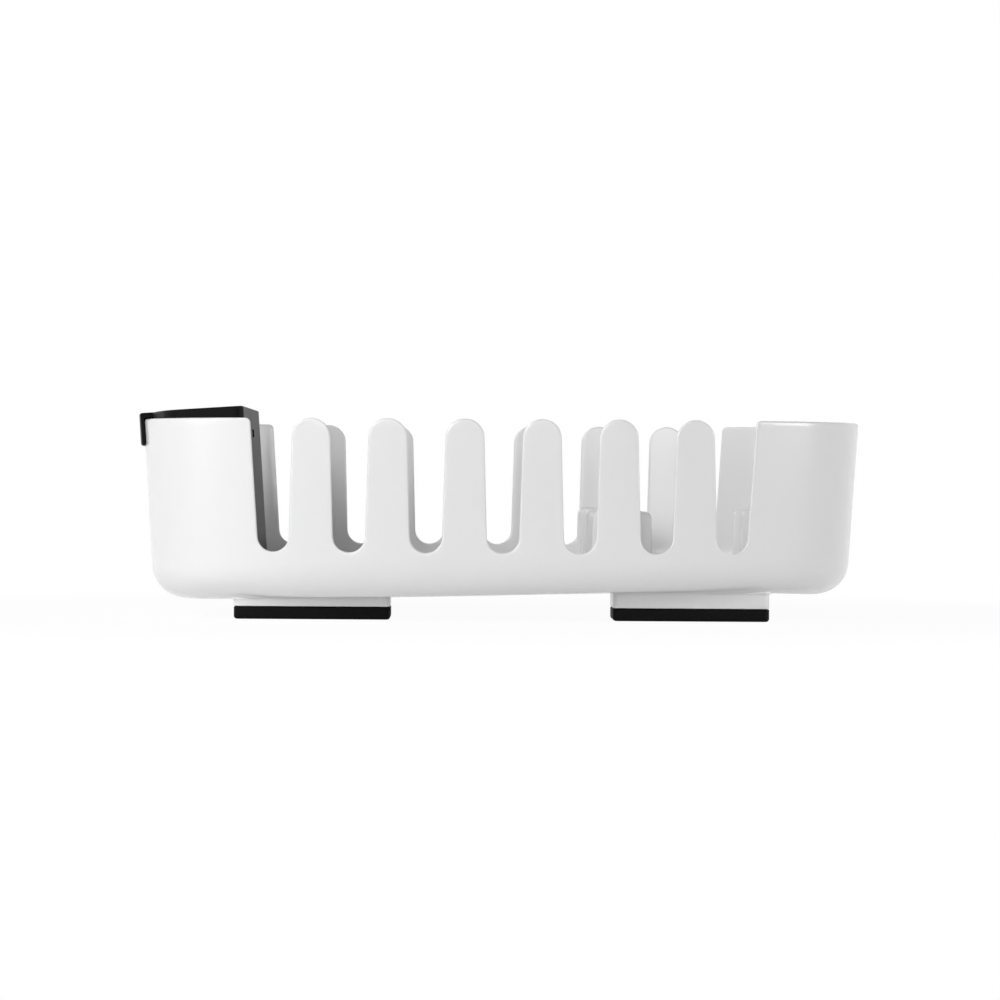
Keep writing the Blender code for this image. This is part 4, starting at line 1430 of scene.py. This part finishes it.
    def build(self, workshop: Workshop) -> None:
        """Makes the pot, its hook, its ribs and the divider.

        Args:
            workshop: where the pieces are cut and dressed.
        """
        pot = workshop.cut(self.pot_mesh(), self.openings_mesh())
        workshop.dress(pot, CHARCOAL_PLASTIC, Body.DRAINER, replaces=("cutlery_drainer",))
        hook = workshop.dress(self.hook_mesh(), CHARCOAL_PLASTIC, Body.DRAINER)
        workshop.soften(hook, self.hook_softening)
        ribs = workshop.dress(self.ribs_mesh(), CHARCOAL_PLASTIC, Body.DRAINER)
        workshop.soften(ribs, self.thin_softening)
        divider = workshop.dress(self.divider_mesh(), DIVIDER_PLASTIC, Body.DRAINER,
                                 replaces=("drainer_divider",))
        workshop.soften(divider, self.thin_softening)


@dataclass(frozen=True)
class Softbox:
    """A rectangular area light that faces the rack."""

    name: str
    place: tuple[float, float, float]   # where it hangs
    size: tuple[float, float]           # its width and height
    watts: float


SOFTBOXES = (
    Softbox("front_left", (-0.8, -2.2, 0.5), (1.0, 1.0), 15.3),
    Softbox("front_low", (0.0, -2.6, 0.15), (1.2, 0.3), 5.3),
    Softbox("left_front_high", (-1.3, -1.2, 1.1), (0.8, 0.8), 9.0),
    Softbox("left_high", (-1.7, -0.3, 1.1), (0.8, 0.8), 9.8),
    Softbox("left_end", (-2.2, -0.1, 0.15), (0.6, 0.3), 3.0),
    Softbox("right_low", (1.95, -0.45, 0.25), (1.2, 0.5), 13.6),
    Softbox("top", (0.0, 0.1, 1.8), (1.6, 1.2), 2.5),
    Softbox("back_high", (0.0, 1.8, 1.3), (1.6, 1.0), 2.5),
)


@dataclass
class Studio:
    """Camera, soft lights, world and floor."""

    softboxes: tuple[Softbox, ...] = SOFTBOXES
    aim: tuple[float, float, float] = (0.0, 0.0, 0.05)
    eye: tuple[float, float, float] = (-0.0229, -2.337, 0.073)
    lens: float = 156.76
    roll: float = 0.0063
    shift: tuple[float, float] = (0.045, -0.0227)
    sensor: float = 36.0
    clip: tuple[float, float] = (0.05, 20.0)
    floor_half: float = 3.0
    floor_grey: float = 0.93
    floor_roughness: float = 0.9
    floor_glow: float = 0.955
    shadow_reach: tuple[float, float] = (0.25, 0.50)
    surround: float = 0.04

    def camera(self) -> None:
        """The photograph's view: level, looking along +Y, with a small shift and roll."""
        data = bpy.data.cameras.new("view")
        data.lens = self.lens
        data.sensor_width = self.sensor
        data.shift_x, data.shift_y = self.shift
        data.clip_start, data.clip_end = self.clip
        item = bpy.data.objects.new("view", data)
        item.location = self.eye
        level = Matrix.Rotation(QUARTER, 4, "X")
        item.rotation_euler = (level @ Matrix.Rotation(self.roll, 4, "Z")).to_euler()
        bpy.context.scene.collection.objects.link(item)
        bpy.context.scene.camera = item

    def light(self, box: Softbox) -> None:
        """Hangs one softbox and turns it to the rack.

        Args:
            box: the softbox.
        """
        data = bpy.data.lights.new(box.name, "AREA")
        data.shape = "RECTANGLE"
        data.size, data.size_y = box.size
        data.energy = box.watts
        item = bpy.data.objects.new(box.name, data)
        item.location = box.place
        aim = Vector(self.aim) - Vector(box.place)
        item.rotation_euler = aim.to_track_quat("-Z", "Y").to_euler()
        bpy.context.scene.collection.objects.link(item)

    @staticmethod
    def seen_directly(tree: bpy.types.NodeTree) -> bpy.types.NodeSocket:
        """A socket that is 1 for what the camera sees itself, in a mirror or through glass.

        Args:
            tree: the nodes it is added to.

        Returns:
            The socket.
        """
        rays = tree.nodes.new("ShaderNodeLightPath")
        seen = rays.outputs["Is Camera Ray"]
        for kind in ("Is Glossy Ray", "Is Transmission Ray"):
            either = tree.nodes.new("ShaderNodeMath")
            either.operation = "MAXIMUM"
            tree.links.new(seen, either.inputs[0])
            tree.links.new(rays.outputs[kind], either.inputs[1])
            seen = either.outputs[0]
        return seen

    @staticmethod
    def blend(tree: bpy.types.NodeTree, share: bpy.types.NodeSocket, first: bpy.types.NodeSocket,
              last: bpy.types.NodeSocket) -> bpy.types.NodeSocket:
        """Mixes two shaders.

        Args:
            tree: the nodes it is added to.
            share: 0 where the first shows, 1 where the last does.
            first: a shader.
            last: a shader.

        Returns:
            The mixed shader's socket.
        """
        both = tree.nodes.new("ShaderNodeMixShader")
        for source, socket in zip((share, first, last), both.inputs):
            tree.links.new(source, socket)
        return both.outputs[0]

    def world(self) -> None:
        """A pale grey surround that the camera sees as white."""
        made = bpy.data.worlds.new("surround")
        made.use_nodes = True
        tree = made.node_tree
        tree.nodes.clear()
        out = tree.nodes.new("ShaderNodeOutputWorld")
        shades = []
        for strength in (self.surround, 1.0):
            shade = tree.nodes.new("ShaderNodeBackground")
            shade.inputs["Color"].default_value = (1.0, 1.0, 1.0, 1.0)
            shade.inputs["Strength"].default_value = strength
            shades.append(shade.outputs[0])
        tree.links.new(self.blend(tree, self.seen_directly(tree), *shades), out.inputs["Surface"])
        bpy.context.scene.world = made

    def floor(self) -> None:
        """A pale level floor that the camera sees as white, with the rack's faint shadow.

        What is seen directly is the glow by a share that rises smoothly from floor_glow near the
        rack to 1 away from it, and the lit floor by the rest.
        """
        patches = Patchwork()
        half = self.floor_half
        patches.polygon(np.array([[-half, -half, 0.0], [half, -half, 0.0],
                                  [half, half, 0.0], [-half, half, 0.0]]))
        data = patches.mesh("studio_floor")
        made = bpy.data.materials.new("pale_floor")
        made.use_nodes = True
        tree = made.node_tree
        shader = tree.nodes["Principled BSDF"]
        grey = self.floor_grey
        shader.inputs["Base Color"].default_value = (grey, grey, grey, 1.0)
        shader.inputs["Roughness"].default_value = self.floor_roughness
        glow = tree.nodes.new("ShaderNodeEmission")
        glow.inputs["Strength"].default_value = 1.0
        place = tree.nodes.new("ShaderNodeTexCoord")
        away = tree.nodes.new("ShaderNodeVectorMath")
        away.operation = "LENGTH"
        tree.links.new(place.outputs["Object"], away.inputs[0])
        fade = tree.nodes.new("ShaderNodeMapRange")
        fade.interpolation_type = "SMOOTHSTEP"
        fade.inputs["From Min"].default_value = self.shadow_reach[0]
        fade.inputs["From Max"].default_value = self.shadow_reach[1]
        fade.inputs["To Min"].default_value = self.floor_glow
        fade.inputs["To Max"].default_value = 1.0
        tree.links.new(away.outputs["Value"], fade.inputs["Value"])
        part = tree.nodes.new("ShaderNodeMath")
        part.operation = "MULTIPLY"
        tree.links.new(self.seen_directly(tree), part.inputs[0])
        tree.links.new(fade.outputs["Result"], part.inputs[1])
        shown = self.blend(tree, part.outputs[0], shader.outputs[0], glow.outputs[0])
        tree.links.new(shown, tree.nodes["Material Output"].inputs["Surface"])
        data.materials.append(made)
        item = bpy.data.objects.new("studio_floor", data)
        bpy.context.scene.collection.objects.link(item)
        item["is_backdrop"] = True

    def build(self) -> None:
        """Sets everything up around the rack."""
        bpy.context.scene.view_settings.view_transform = "Standard"
        self.camera()
        for box in self.softboxes:
            self.light(box)
        self.world()
        self.floor()


def corners(box: tuple[Vector, Vector]) -> list[list[float]]:
    """A box's two corners as plain lists."""
    return [[float(value) for value in corner] for corner in box]


def main() -> None:
    """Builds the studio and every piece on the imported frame."""
    logging.basicConfig(level=logging.INFO, format="%(name)s: %(message)s")
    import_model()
    packed = corners(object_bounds())
    Studio().build()
    workshop = Workshop()
    for assembly in (TrayShell(), Uprights(), Feet(), CutleryDrainer()):
        assembly.build(workshop)
        LOG.info("%s done", type(assembly).__name__)
    dressed = corners(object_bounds())


if __name__ == "__main__":
    main()
